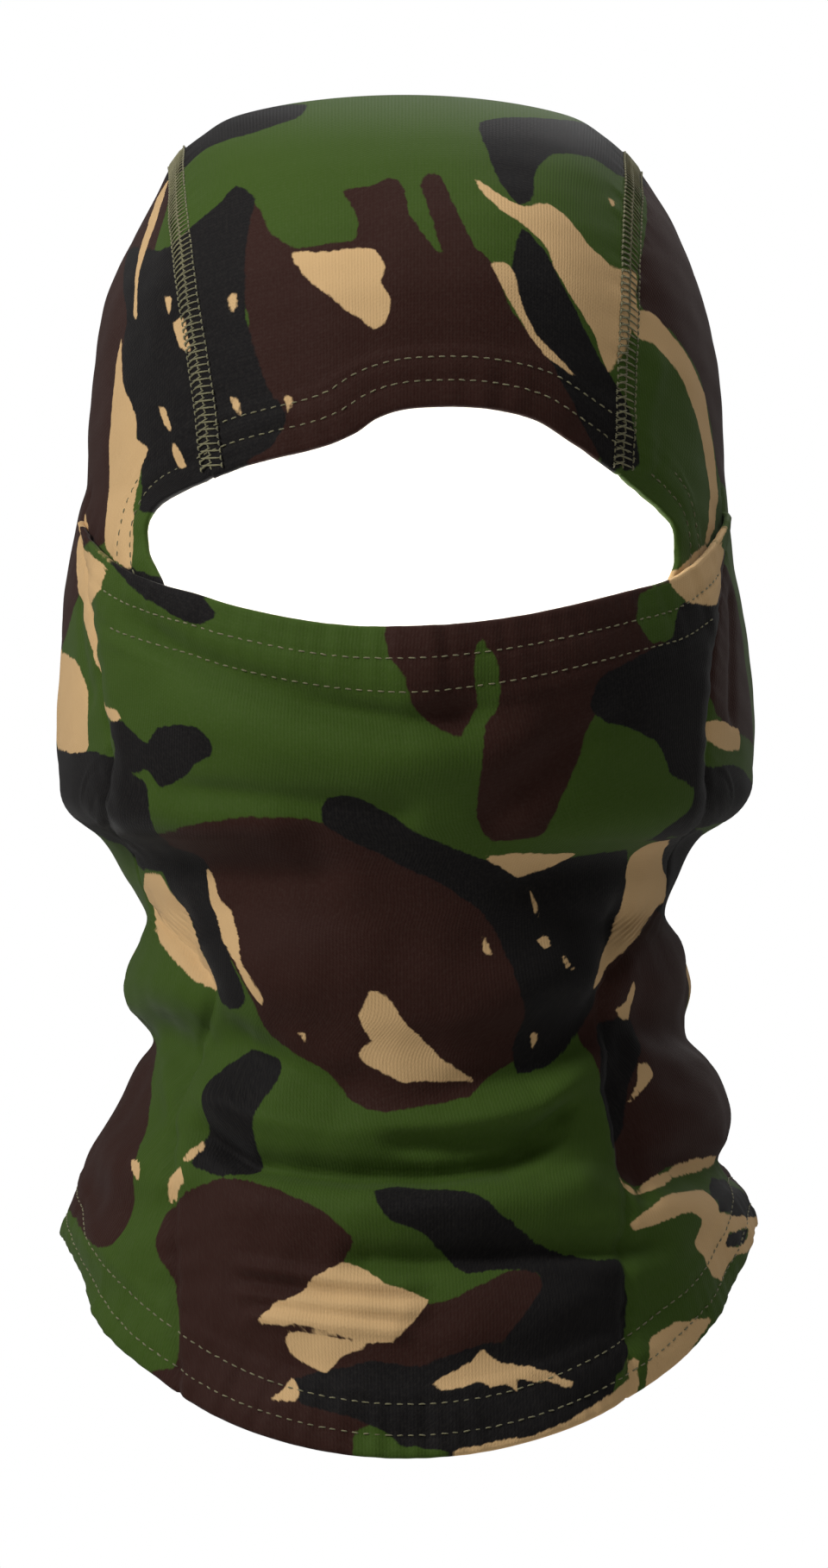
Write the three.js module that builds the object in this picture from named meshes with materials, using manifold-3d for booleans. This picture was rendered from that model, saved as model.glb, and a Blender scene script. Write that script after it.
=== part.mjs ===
// Knitted hood with a pull-down face mask, as worn on an upright head.
//
// Millimetres, +Z up, the face looks along -Y, +X is the wearer's left hand.
// The origin is the inside of the crown's highest point, where the head carries the hood.
// Depths are measured downwards from the outside of that highest point.
//
// The cloth follows one draped form. Every panel, hem and thread is a layer of that form,
// cut to its outline, so the pieces stay in touch when a size changes.

import * as THREE from 'three';
import { mergeVertices } from 'three/addons/utils/BufferGeometryUtils.js';
import Module from 'manifold-3d';

const wasm = await Module();
wasm.setup();

// ---- cloth and thread ----
const cloth = 1.4; // one layer of brushed jersey with its loft
const gap = 0.3; // air between two pieces that touch
const thread = 0.5; // thickness of a laid thread
const needleWidth = 0.9; // width of a needle row
const coverWidth = 6; // width of the flat ladder stitch over a crown seam
const overlockWidth = 5; // width of the overlocked side seam

// ---- half widths of the draped form ----
const headHalf = 82; // temples
const cheekHalf = 90; // fullest point over the jaw
const neckHalf = 66.5; // pulled in below the jaw
const collarHalf = 73; // fold that stands out below the pulled-in neck
const skirtHalf = 89; // widest point over the shoulders

// ---- reach forwards (front) and backwards (back) from the crown ----
const browFront = 95;
const noseFront = 103;
const chinFront = 92;
const throatFront = 80;
const bibFront = 98;
const headBack = 100;
const napeBack = 69;
const skirtBack = 88;

// ---- depths below the top of the crown ----
const browDepth = 81; // middle of the brow edge
const eyeCornerDepth = 115; // outer corners of the eye opening
const maskDepth = 136.4; // middle of the mask's top edge
const maskEndDepth = 110; // mask's top edge at the side seams
const jawDepth = 170;
const neckDepth = 213;
const collarDepth = 230;
const shoulderDepth = 290; // bottom hem at the sides
const bibDepth = 352; // bottom hem at the front
const backHemDepth = 316; // bottom hem at the back

// ---- openings, seams and hems ----
const eyeHalf = 68; // half width of the eye opening
const crownHalf = 58; // crown panel over the head
const crownBrowHalf = 52; // crown panel at the brow
const crownNapeHalf = 35; // crown panel at the nape and the back hem
const browHem = 14;
const maskHem = 19;
const neckHem = 17;
const flapReach = 7; // how far the hood's front edge runs in below the eye corner
const gripClearance = 6; // the hem that is pulled down passes inside the hood's front edge
const maskGrip = eyeHalf - flapReach - gripClearance; // half length of that hem
const browRows = [6, 12]; // needle rows, from the edge
const maskRows = [7, 16];
const neckRows = [5, 13];
const flapEnd = 184; // depth where the hood's front edge runs into the side seam
const hemSaddle = 25; // roundness of the bottom hem where it rises over the shoulder
const sideInsets = [ // side seam: depth, distance in from the form's side outline
  [maskEndDepth - 20, 1], [116, 2.5], [154, 11], [jawDepth + 2, 15], [193, 10],
  [neckDepth, 8], [collarDepth + 5, 18], [283, 26], [shoulderDepth + 10, 30], [420, 32],
];

// ---- the draped form ----
// depth, half width, front reach, back reach, and how far back the widest point lies
const stations = [
  [0, 0, 0, 0, 0],
  [5, headHalf * 0.51, browFront * 0.4, headBack * 0.4, 0],
  [12, headHalf * 0.665, browFront * 0.6, headBack * 0.6, 1],
  [25, headHalf * 0.785, browFront * 0.79, headBack * 0.79, 2],
  [45, headHalf * 0.905, browFront * 0.93, headBack * 0.94, 4],
  [browDepth - 14, headHalf * 0.978, browFront * 0.985, headBack * 0.99, 5],
  [browDepth, headHalf, browFront, headBack, 5],
  [102, headHalf + 0.5, browFront + 1, headBack, 5],
  [118, headHalf + 3, noseFront - 5, headBack - 2, 5],
  [maskDepth, cheekHalf - 2, noseFront - 1, headBack - 6, 6],
  [150, cheekHalf - 0.5, noseFront, headBack - 11, 7],
  [jawDepth, cheekHalf, noseFront - 4, headBack - 20, 9],
  [184, cheekHalf - 3, chinFront + 3, headBack - 25, 10],
  [194, neckHalf + 10, chinFront, napeBack + 3, 11],
  [203, neckHalf + 4.5, chinFront - 3, napeBack + 1, 12],
  [neckDepth, neckHalf, chinFront - 5, napeBack, 12],
  [collarDepth, collarHalf, chinFront - 5, napeBack + 1, 12],
  [246, collarHalf - 2, throatFront, napeBack + 2, 12],
  [264, skirtHalf - 9, throatFront, napeBack + 6, 11],
  [shoulderDepth, skirtHalf, throatFront + 6, skirtBack - 6, 10],
  [320, skirtHalf + 0.5, bibFront - 8, skirtBack, 9],
  [bibDepth, skirtHalf + 1, bibFront, skirtBack + 3, 8],
  [bibDepth + 30, skirtHalf + 1, bibFront + 4, skirtBack + 4, 8],
];
const formEnd = bibDepth + 26;
const around = 28;
const fullness = 2.3; // 2 would be an ellipse, more is squarer

/** Smooth curve through [place, value] pairs. */
function through(pairs) {
  const slope = pairs.map((p, i) => {
    const a = pairs[Math.max(i - 1, 0)];
    const b = pairs[Math.min(i + 1, pairs.length - 1)];
    return (b[1] - a[1]) / (b[0] - a[0]);
  });
  return (place) => {
    let i = 0;
    while (i < pairs.length - 2 && place > pairs[i + 1][0]) i += 1;
    const [x0, y0] = pairs[i];
    const [x1, y1] = pairs[i + 1];
    const span = x1 - x0;
    const t = THREE.MathUtils.clamp((place - x0) / span, 0, 1);
    const bend0 = slope[i] * span;
    const bend1 = slope[i + 1] * span;
    return y0 + t * (bend0 + t * (3 * (y1 - y0) - 2 * bend0 - bend1
      + t * (bend0 + bend1 - 2 * (y1 - y0))));
  };
}

// The dome is smooth against the square root of the depth, so the curves run through that.
const [halfWidth, front, back, centre] = [1, 2, 3, 4].map((column) => {
  const curve = through(stations.map((s) => [Math.sqrt(s[0]), s[column]]));
  return (depth) => curve(Math.sqrt(Math.max(depth, 0)));
});
const sideInset = through(sideInsets);
const seamHalf = (depth) => halfWidth(depth) - sideInset(depth);

/** A point of the form's outside: turn 0 is +X, a quarter turn is the front. */
function formPoint(turn, depth) {
  const c = Math.cos(turn);
  const s = Math.sin(turn);
  const squarer = (v) => Math.sign(v) * Math.abs(v) ** (2 / fullness);
  const reach = s > 0 ? front(depth) + centre(depth) : back(depth) - centre(depth);
  return new THREE.Vector3(
    halfWidth(depth) * squarer(c), centre(depth) - reach * squarer(s), cloth - depth,
  );
}

function formNormal(turn, depth) {
  const step = 0.02;
  const along = formPoint(turn + step, depth).sub(formPoint(turn - step, depth));
  const lower = formPoint(turn, depth + 0.5);
  const down = lower.sub(formPoint(turn, Math.max(depth - 0.5, 0.01)));
  return along.cross(down).normalize();
}

// Rings close together over the dome and evenly spaced below it.
const ringDepths = [1, 4.5, 10.5, 20, 33, 49, 66];
for (let depth = 82; depth < formEnd; depth += 15.5) ringDepths.push(depth);
ringDepths.push(formEnd);

/** Solid bounded by the form moved outwards by lift(depth), closed at the bottom. */
function form(lift) {
  const points = [0, 0, cloth + lift(0)];
  for (const depth of ringDepths) {
    for (let i = 0; i < around; i += 1) {
      const turn = (i / around) * 2 * Math.PI;
      const p = formPoint(turn, depth).addScaledVector(formNormal(turn, depth), lift(depth));
      points.push(p.x, p.y, p.z);
    }
  }
  const last = 1 + ringDepths.length * around;
  points.push(0, 0, cloth - formEnd);
  const faces = [];
  for (let i = 0; i < around; i += 1) {
    const j = (i + 1) % around;
    faces.push(0, 1 + j, 1 + i);
    for (let ring = 1; ring < ringDepths.length; ring += 1) {
      const upper = 1 + (ring - 1) * around;
      const lower = upper + around;
      faces.push(upper + i, upper + j, lower + i, upper + j, lower + j, lower + i);
    }
    faces.push(last, last - around + i, last - around + j);
  }
  const geometry = new THREE.BufferGeometry();
  geometry.setAttribute('position', new THREE.Float32BufferAttribute(points, 3));
  geometry.setIndex(faces);
  return solid(geometry);
}

function solid(geometry) {
  const bare = geometry.clone();
  bare.deleteAttribute('normal');
  bare.deleteAttribute('uv');
  const merged = mergeVertices(bare, 1e-4);
  return new wasm.Manifold(new wasm.Mesh({
    numProp: 3,
    vertProperties: new Float32Array(merged.attributes.position.array),
    triVerts: new Uint32Array(merged.index.array),
  }));
}

/** The layer of the form between two lifts, each a number or a function of depth. */
function layer(inner, outer) {
  const lift = (v) => (typeof v === 'function' ? v : () => v);
  return form(lift(outer)).subtract(form(lift(inner)));
}

// ---- outlines and the cutters made from them ----
const reach = 400; // further than any piece
const below = -formEnd - 20;
const ridge = 2; // front and back cutters meet this far behind the crown's middle

/** Points at even steps on a smooth curve through [across, depth] pairs, as [x, z]. */
function curvePoints(pairs, steps) {
  const curve = new THREE.SplineCurve(pairs.map(([x, depth]) => new THREE.Vector2(x, cloth - depth)));
  return curve.getPoints(steps);
}

/** Closed outline from its right half, which runs from the middle of the top to the bottom. */
function mirrored(half) {
  const left = half.filter((p) => Math.abs(p.x) > 1e-6).map((p) => new THREE.Vector2(-p.x, p.y));
  return half.concat(left.reverse());
}

/** Prism of an outline in X and Z, from the ridge forwards, or from just before it backwards. */
function facing(outline, backwards = false) {
  const geometry = new THREE.ExtrudeGeometry(new THREE.Shape(outline), { depth: reach, bevelEnabled: false });
  geometry.rotateX(Math.PI / 2);
  geometry.translate(0, backwards ? ridge / 2 + reach : ridge, 0);
  return solid(geometry);
}

/** Prism of an outline in Y and Z, right across the form. */
function crossing(outline) {
  const geometry = new THREE.ExtrudeGeometry(new THREE.Shape(outline), { depth: 2 * reach, bevelEnabled: false });
  geometry.translate(0, 0, -reach);
  geometry.applyMatrix4(new THREE.Matrix4().makeBasis(
    new THREE.Vector3(0, 1, 0), new THREE.Vector3(0, 0, 1), new THREE.Vector3(1, 0, 0),
  ));
  return solid(geometry);
}

/** Box between two corners. */
function block(low, high) {
  const size = new THREE.Vector3().subVectors(high, low);
  const geometry = new THREE.BoxGeometry(size.x, size.y, size.z);
  geometry.translate(...low.clone().addScaledVector(size, 0.5).toArray());
  return solid(geometry);
}

/** An outline moved outwards by a distance. */
function grown(outline, distance) {
  return outline.map((p, i) => {
    const a = outline[(i + outline.length - 1) % outline.length];
    const b = outline[(i + 1) % outline.length];
    const way = new THREE.Vector2().subVectors(b, a).normalize();
    return new THREE.Vector2(p.x - way.y * distance, p.y + way.x * distance);
  });
}

/** The side seam from a depth down, on one grid of depths so that both its sides match. */
function seamPoints(fromDepth, shift) {
  const seamStep = 8;
  const points = [];
  for (let depth = Math.ceil(fromDepth / seamStep) * seamStep; depth < formEnd; depth += seamStep) {
    points.push(new THREE.Vector2(seamHalf(depth) + shift, cloth - depth));
  }
  points.push(new THREE.Vector2(seamHalf(formEnd) + shift, below));
  return points;
}

// The opening of the hood by itself: brow, eye corners, then down under the mask to the side seam.
const hoodEdge = curvePoints([
  [0, browDepth], [20, browDepth + 3.5], [37, browDepth + 8.5], [52, browDepth + 16],
  [62, eyeCornerDepth - 10], [eyeHalf, eyeCornerDepth], [eyeHalf - 3, eyeCornerDepth + 13],
  [eyeHalf - flapReach, eyeCornerDepth + 28], [eyeHalf - 6, eyeCornerDepth + 45],
  [seamHalf(flapEnd) - gap, flapEnd],
], 20);
const hoodOpening = mirrored([...hoodEdge, ...seamPoints(flapEnd + 1, gap)]);

/** The mask's top edge, moved down along the face. */
function maskEdge(down) {
  return curvePoints([
    [0, maskDepth + down], [30, maskDepth - 2.4 + down], [60, maskDepth - 9.4 + down],
    [headHalf - 8, maskEndDepth + 9 + down], [headHalf + 2, maskEndDepth + down],
    [cheekHalf + 20, maskEndDepth - 16 + down],
  ], 12);
}
const maskSide = (down, deep) => mirrored([
  ...maskEdge(down), new THREE.Vector2(cheekHalf + 20, cloth - deep),
]);
const belowMaskEdge = (down) => facing(maskSide(down, formEnd + 20));
const insideSeams = (shift) => facing(mirrored([
  new THREE.Vector2(0, cloth - maskEndDepth + 40),
  new THREE.Vector2(seamHalf(maskEndDepth - 10) + shift, cloth - maskEndDepth + 40),
  ...seamPoints(maskEndDepth - 10, shift),
]));

/** All that lies above the bottom hem, raised by a distance. */
function aboveHem(up) {
  const dip = (y, far) => (Math.hypot(y, hemSaddle) - hemSaddle) / (Math.hypot(far, hemSaddle) - hemSaddle);
  const hem = [];
  for (let y = -150; y <= 150; y += 10) {
    const drop = y < 0
      ? (bibDepth - shoulderDepth) * dip(y, bibFront)
      : (backHemDepth - shoulderDepth) * dip(y, skirtBack);
    hem.push(new THREE.Vector2(y, cloth - shoulderDepth - drop + up));
  }
  return crossing([...hem, new THREE.Vector2(150, reach), new THREE.Vector2(-150, reach)]);
}

/** The strip over the head between the crown seams, widened by a distance. */
function crownStrip(wider) {
  const top = new THREE.Vector2(0, reach);
  const side = (x, depth) => new THREE.Vector2(x + wider, cloth - depth);
  const head = [top, new THREE.Vector2(crownHalf + wider, reach), side(crownHalf, 45)];
  const brow = [side(crownBrowHalf, browDepth + 22), new THREE.Vector2(0, cloth - browDepth - 22)];
  const nape = [
    side(crownHalf - 6, browDepth + 22), side(crownNapeHalf + 3, 190), side(crownNapeHalf, formEnd + 20),
  ];
  return facing(mirrored([...head, ...brow])).add(facing(mirrored([...head, ...nape]), true));
}

const atSide = (sign) => block(
  new THREE.Vector3(sign > 0 ? 0 : -reach, -reach, -reach), new THREE.Vector3(sign > 0 ? reach : 0, reach, reach),
);
const between = (top, bottom) => block(
  new THREE.Vector3(-reach, -reach, cloth - bottom), new THREE.Vector3(reach, reach, cloth - top),
);

// ---- the mask lies outside the hood over the cheeks and in line with it below the jaw ----
const maskLift = gap + 2 * cloth;
const lift = (depth) => maskLift * (1 - THREE.MathUtils.smoothstep(depth, flapEnd - 3, flapEnd + 17));
const moved = (distance) => (depth) => lift(depth) + distance;

const neckBand = aboveHem(0).subtract(aboveHem(neckHem));
const browBand = facing(grown(hoodOpening, browHem)).intersect(between(0, maskDepth - 2));
const doubled = browBand.add(neckBand);

// ---- panels ----
const hood = layer(-cloth, 0).add(layer(-2 * cloth, 0).intersect(doubled))
  .subtract(facing(hoodOpening)).intersect(aboveHem(0));
const crownPanel = hood.intersect(crownStrip(-gap / 2));
const sides = hood.subtract(crownStrip(gap / 2));

const grip = (half) => block(
  new THREE.Vector3(-half, -reach, cloth - maskDepth - 2 * maskHem),
  new THREE.Vector3(half, 0, cloth - browDepth),
);
const maskBand = belowMaskEdge(0).subtract(belowMaskEdge(maskHem));
const maskCloth = layer(moved(-cloth), lift).add(
  layer(moved(-2 * cloth), lift).intersect(maskBand.add(neckBand)),
).intersect(insideSeams(0)).intersect(belowMaskEdge(0)).intersect(aboveHem(0));
const facePanel = maskCloth.subtract(
  belowMaskEdge(-1).subtract(belowMaskEdge(maskHem + gap)).intersect(grip(maskGrip + gap)),
);
const maskHemBand = maskCloth.intersect(maskBand).intersect(grip(maskGrip));

// ---- threads ----
const outsideThread = (cutter, base = () => 0) => layer(
  (d) => base(d) + gap, (d) => base(d) + gap + thread,
).intersect(cutter);
const insideThread = (cutter, base) => layer(
  (d) => base(d) - gap - thread, (d) => base(d) - gap,
).intersect(cutter);
const row = (edge, distance, width = needleWidth) => edge(distance - width / 2)
  .subtract(edge(distance + width / 2));

const clearOfMask = facing(mirrored([new THREE.Vector2(0, reach), new THREE.Vector2(reach, reach),
  ...maskEdge(-1).reverse()]));
const browRow = (distance, width = needleWidth) => facing(grown(hoodOpening, distance + width / 2))
  .subtract(facing(grown(hoodOpening, distance - width / 2))).intersect(clearOfMask);
const maskRow = (distance, width) => row(belowMaskEdge, distance, width).intersect(grip(maskGrip - 1));
const neckRow = (distance, width = needleWidth) => aboveHem(distance - width / 2)
  .subtract(aboveHem(distance + width / 2));
const middle = (rows) => (rows[0] + rows[1]) / 2;
const apart = (rows) => rows[1] - rows[0];

const crownSeam = crownStrip(coverWidth / 2).subtract(crownStrip(-coverWidth / 2))
  .subtract(facing(grown(hoodOpening, browRows[1] + needleWidth)))
  .intersect(aboveHem(neckRows[1] + needleWidth));
const sideSeam = insideSeams(overlockWidth / 2).subtract(insideSeams(-overlockWidth / 2))
  .intersect(between(maskDepth + 4, formEnd)).intersect(aboveHem(neckHem + 1));

// ---- the assembly ----
const model = new THREE.Group();

function add(name, body, color, roughness = 0.9) {
  const { vertProperties, triVerts } = body.getMesh();
  const geometry = new THREE.BufferGeometry();
  geometry.setAttribute('position', new THREE.Float32BufferAttribute(vertProperties, 3));
  geometry.setIndex(new THREE.Uint32BufferAttribute(triVerts, 1));
  const mesh = new THREE.Mesh(geometry, new THREE.MeshStandardMaterial({ color, roughness, metalness: 0 }));
  mesh.name = name;
  model.add(mesh);
}

add('crown_panel', crownPanel, 0x3b4d22);
add('side_panel_left', sides.intersect(atSide(1)), 0x2c1d18);
add('side_panel_right', sides.intersect(atSide(-1)), 0x2c1d18);
add('face_panel', facePanel, 0x3f5a24);
add('mask_top_hem', maskHemBand, 0x4a6329);

const olive = 0x76713f;
add('crown_seam_thread_left', outsideThread(crownSeam.intersect(atSide(1))), olive);
add('crown_seam_thread_right', outsideThread(crownSeam.intersect(atSide(-1))), olive);
add('brow_hem_thread_lower', outsideThread(browRow(browRows[0])), olive);
add('brow_hem_thread_upper', outsideThread(browRow(browRows[1])), olive);
add('brow_hem_looper', insideThread(browRow(middle(browRows), apart(browRows)), () => -2 * cloth), olive);
add('mask_hem_thread_upper', outsideThread(maskRow(maskRows[0]), lift), olive);
add('mask_hem_thread_lower', outsideThread(maskRow(maskRows[1]), lift), olive);
add('mask_hem_looper', insideThread(maskRow(middle(maskRows), apart(maskRows)), moved(-2 * cloth)), olive);
add('neck_hem_thread_lower', outsideThread(neckRow(neckRows[0])), olive);
add('neck_hem_thread_upper', outsideThread(neckRow(neckRows[1])), olive);
add('neck_hem_looper', insideThread(neckRow(middle(neckRows), apart(neckRows)), () => -2 * cloth), olive);
add('side_seam_thread_left', insideThread(sideSeam.intersect(atSide(1)), () => -cloth), olive);
add('side_seam_thread_right', insideThread(sideSeam.intersect(atSide(-1)), () => -cloth), olive);

export default model;
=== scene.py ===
"""Knitted camouflage hood with a face mask that pulls down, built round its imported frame.

The cloth is drawn tight over an upright head that isn't part of the object. Lengths in the
maker's functions are millimetres: x to the wearer's left, depth down from the top of the crown.
"""

import math

import bpy
import numpy as np
from bpy.props import FloatProperty, FloatVectorProperty, PointerProperty
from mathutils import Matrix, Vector
from mathutils.kdtree import KDTree


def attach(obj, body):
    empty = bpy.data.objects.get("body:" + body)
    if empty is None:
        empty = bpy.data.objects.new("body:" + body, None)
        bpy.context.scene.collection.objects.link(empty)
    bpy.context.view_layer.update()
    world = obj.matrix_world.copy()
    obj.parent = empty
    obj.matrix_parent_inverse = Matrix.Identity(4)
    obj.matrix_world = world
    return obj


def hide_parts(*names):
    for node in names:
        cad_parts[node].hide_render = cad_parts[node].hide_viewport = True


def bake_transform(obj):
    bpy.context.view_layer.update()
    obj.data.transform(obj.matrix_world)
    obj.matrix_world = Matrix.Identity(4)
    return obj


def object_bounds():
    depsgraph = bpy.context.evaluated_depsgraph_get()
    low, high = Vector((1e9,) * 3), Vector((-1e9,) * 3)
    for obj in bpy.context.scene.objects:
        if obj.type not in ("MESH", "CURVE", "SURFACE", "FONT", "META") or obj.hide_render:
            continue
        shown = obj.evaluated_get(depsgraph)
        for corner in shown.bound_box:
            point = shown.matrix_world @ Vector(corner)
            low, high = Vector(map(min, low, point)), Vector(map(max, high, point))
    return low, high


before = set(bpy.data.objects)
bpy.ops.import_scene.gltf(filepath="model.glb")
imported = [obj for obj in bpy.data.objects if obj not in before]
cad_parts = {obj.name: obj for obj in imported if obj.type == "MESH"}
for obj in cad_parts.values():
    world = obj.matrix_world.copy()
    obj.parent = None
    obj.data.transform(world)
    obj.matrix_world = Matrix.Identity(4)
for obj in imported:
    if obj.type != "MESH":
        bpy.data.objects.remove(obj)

bl_info = {
    "name": "Camouflage hood with pull-down mask",
    "version": (1, 0, 0),
    "blender": (4, 5, 0),
    "location": "View3D > Sidebar > Hood",
    "description": "Makes the panels, seams and stitches of a knitted hood round its frame",
    "category": "Object",
}

MM = 0.001
FRAME_LOW, FRAME_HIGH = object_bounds()
TOP = FRAME_HIGH[2] / MM  # height of the crown's outside in the frame
HOOD_BODY, MASK_BODY = "hood", "mask_hem"
FULLNESS = 2.3  # squareness of the head's horizontal section


# ---------------------------------------------------------------- curves and the draped form


def curve_through(*points):
    """Smooth function through (place, value) points."""
    places, values = (np.array(column, float) for column in zip(*points))
    after, before = np.arange(1, len(places) + 1), np.arange(-1, len(places) - 1)
    after, before = np.minimum(after, len(places) - 1), np.maximum(before, 0)
    slopes = (values[after] - values[before]) / (places[after] - places[before])

    def at(place):
        place = np.clip(place, places[0], places[-1])
        i = np.clip(np.searchsorted(places, place, side="right") - 1, 0, len(places) - 2)
        span = places[i + 1] - places[i]
        t = (place - places[i]) / span
        rise, b0, b1 = values[i + 1] - values[i], slopes[i] * span, slopes[i + 1] * span
        return values[i] + t * (b0 + t * (3 * rise - 2 * b0 - b1 + t * (b0 + b1 - 2 * rise)))

    return at


def dome_curve(*points):
    """As curve_through, smooth against the square root of the depth, as a dome's outline is."""
    at = curve_through(*((math.sqrt(depth), value) for depth, value in points))
    return lambda depth: at(np.sqrt(np.maximum(depth, 0)))


def smooth(value, low, high):
    """0 below low, 1 above high, smooth between. low may be the larger."""
    t = np.clip((value - low) / (high - low), 0, 1)
    return t * t * (3 - 2 * t)


# Half widths against depth: the wearer's left is +x. The collar folds stand out differently.
HALF_LEFT = dome_curve(
    (0, 0), (5, 41), (11, 52), (16, 57.5), (27, 65.5), (37, 71), (53, 77.3), (69, 81), (85, 82),
    (101, 82.6), (112, 83.6), (122, 84.9), (133, 87.2), (149, 89.2), (160, 90.2), (171, 90),
    (180, 88.4), (187, 83.5), (192, 76.5), (203, 70.7), (212, 67.2), (219, 71), (229, 73.8),
    (237, 72), (243, 73.5), (250, 80), (261, 83.5), (270, 83.5), (276, 82), (284, 87.5),
    (292, 89.6), (320, 90), (352, 91), (385, 91),
)
HALF_RIGHT = dome_curve(
    (0, 0), (5, 42), (11, 53), (16, 58.5), (27, 64.4), (37, 70), (53, 76.9), (69, 79.8), (85, 81.4),
    (101, 81.9), (107, 83.4), (117, 85.5), (128, 87.8), (144, 88.9), (160, 90), (171, 90),
    (181, 88), (187, 85), (192, 78.8), (203, 72), (212, 67), (219, 69.4), (229, 72.8), (236, 71.4),
    (245, 65.5), (256, 71), (267, 77.8), (277, 83), (288, 85.6), (296, 87.3), (320, 88), (352, 89),
    (385, 89),
)
FRONT = dome_curve(
    (0, 0), (5, 38), (12, 57), (25, 75), (45, 88.5), (67, 93.5), (81, 95), (102, 96), (118, 98),
    (136, 101.5), (150, 103), (170, 99.5), (184, 95.5), (194, 92), (203, 89), (213, 87), (228, 87),
    (240, 82), (254, 81), (268, 80.5), (290, 86), (320, 91), (352, 98), (385, 102),
)
BACK = dome_curve(
    (0, 0), (5, 40), (12, 60), (25, 79), (45, 94), (67, 99), (81, 100), (102, 100), (118, 98),
    (136, 94), (150, 89), (170, 80), (184, 75), (203, 70), (213, 69), (230, 70), (246, 71),
    (264, 75), (290, 82), (320, 88), (352, 91), (385, 92),
)
CENTRE = dome_curve(
    (0, 0), (12, 1), (45, 4), (80, 5), (136, 6), (170, 9), (203, 12), (246, 12), (290, 10), (385, 8),
)


def half_width(side, depth):
    return np.where(side > 0, HALF_LEFT(depth), HALF_RIGHT(depth))


def form(turn, depth):
    """Points of the draped form, before folds. Turn 0 is the wearer's left, a quarter is the front."""
    c, s = np.cos(turn), np.sin(turn)
    squarer = lambda v: np.sign(v) * np.abs(v) ** (2 / FULLNESS)
    centre = CENTRE(depth)
    reach = np.where(s > 0, FRONT(depth) + centre, BACK(depth) - centre)
    return np.stack([half_width(c, depth) * squarer(c), centre - reach * squarer(s), TOP - depth], -1)


def turn_at(x, depth, behind=False):
    """The turn whose point lies at x, on the front or behind."""
    ratio = np.clip(np.abs(x) / np.maximum(half_width(x, depth), 1e-6), 0, 1)
    turn = np.arccos(ratio ** (FULLNESS / 2))
    turn = np.where(x >= 0, turn, np.pi - turn)
    return -turn if behind else turn


RING_TURNS = np.linspace(-np.pi / 2, 3 * np.pi / 2, 721)
RING_DEPTHS = np.linspace(2, 384, 192)


def ring_lengths():
    """Length round the form from the middle of the front, for each depth and turn."""
    turns, depths = np.meshgrid(RING_TURNS, RING_DEPTHS)
    steps = np.linalg.norm(np.diff(form(turns, depths), axis=1), axis=2)
    lengths = np.concatenate([np.zeros((len(RING_DEPTHS), 1)), np.cumsum(steps, 1)], 1)
    return lengths - lengths[:, [360]]


RINGS = ring_lengths()


def girth(turn, depth):
    """Length round the cloth from the middle of the front to a turn, plus to the wearer's left."""
    turn = np.where(turn < -np.pi / 2, turn + 2 * np.pi, turn)
    i = np.clip((depth - RING_DEPTHS[0]) / (RING_DEPTHS[1] - RING_DEPTHS[0]), 0, len(RING_DEPTHS) - 1.001)
    j = np.clip((turn - RING_TURNS[0]) / (RING_TURNS[1] - RING_TURNS[0]), 0, len(RING_TURNS) - 1.001)
    i0, j0 = i.astype(int), j.astype(int)
    fi, fj = i - i0, j - j0
    upper = RINGS[i0, j0] * (1 - fj) + RINGS[i0, j0 + 1] * fj
    lower = RINGS[i0 + 1, j0] * (1 - fj) + RINGS[i0 + 1, j0 + 1] * fj
    return -(upper * (1 - fi) + lower * fi)


def half_round(side, depth):
    """Length round the cloth from the middle of the front to the middle of the back."""
    left = girth(np.full(np.shape(depth), -np.pi / 2), depth)
    right = -girth(np.full(np.shape(depth), 3 * np.pi / 2 - 1e-9), depth)
    return np.where(side > 0, left, right)


def girth_behind(around, depth):
    """The same length measured from the middle of the back, minus to the wearer's left."""
    return around - np.where(around > 0, 1, -1) * half_round(around, depth)


def seen_girth(x, depth, behind=False):
    """Girth of a point seen at x. Past the side outline it runs on round the cloth."""
    x, depth = np.asarray(x, float), np.asarray(depth, float)
    around = girth(turn_at(x, depth, behind), depth)
    past = np.sign(x) * np.maximum(np.abs(x) - half_width(x, depth), 0)
    return girth_behind(around, depth) - past if behind else around + past


SHARES = np.linspace(-1, 1, 401)


def turns_by_share():
    """Turn for each depth and share of the half round, plus to the wearer's left."""
    halves = np.where(SHARES > 0, -RINGS[:, [0]], RINGS[:, [-1]])
    return np.array([
        np.interp(-share * half, lengths, RING_TURNS)
        for share, half, lengths in zip(np.repeat(SHARES[None], len(RINGS), 0), halves, RINGS)
    ])


TURNS = turns_by_share()


def turn_of_share(share, depth):
    i = np.clip((depth - RING_DEPTHS[0]) / (RING_DEPTHS[1] - RING_DEPTHS[0]), 0, len(RING_DEPTHS) - 1.001)
    j = np.clip((share + 1) / (SHARES[1] - SHARES[0]), 0, len(SHARES) - 1.001)
    i0, j0 = i.astype(int), j.astype(int)
    fi, fj = i - i0, j - j0
    upper = TURNS[i0, j0] * (1 - fj) + TURNS[i0, j0 + 1] * fj
    lower = TURNS[i0 + 1, j0] * (1 - fj) + TURNS[i0 + 1, j0 + 1] * fj
    return upper * (1 - fi) + lower * fi


def turn_of(points):
    """Turn of points that lie on the form."""
    x, y, depth = points[..., 0], points[..., 1], TOP - points[..., 2]
    centre = CENTRE(depth)
    reach = np.where(y < centre, FRONT(depth) + centre, BACK(depth) - centre)
    across = x / np.maximum(half_width(x, depth), 1e-6)
    along = (centre - y) / np.maximum(reach, 1e-6)
    rounder = lambda v: np.sign(v) * np.abs(v) ** (FULLNESS / 2)
    return np.arctan2(rounder(along), rounder(across))


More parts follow.
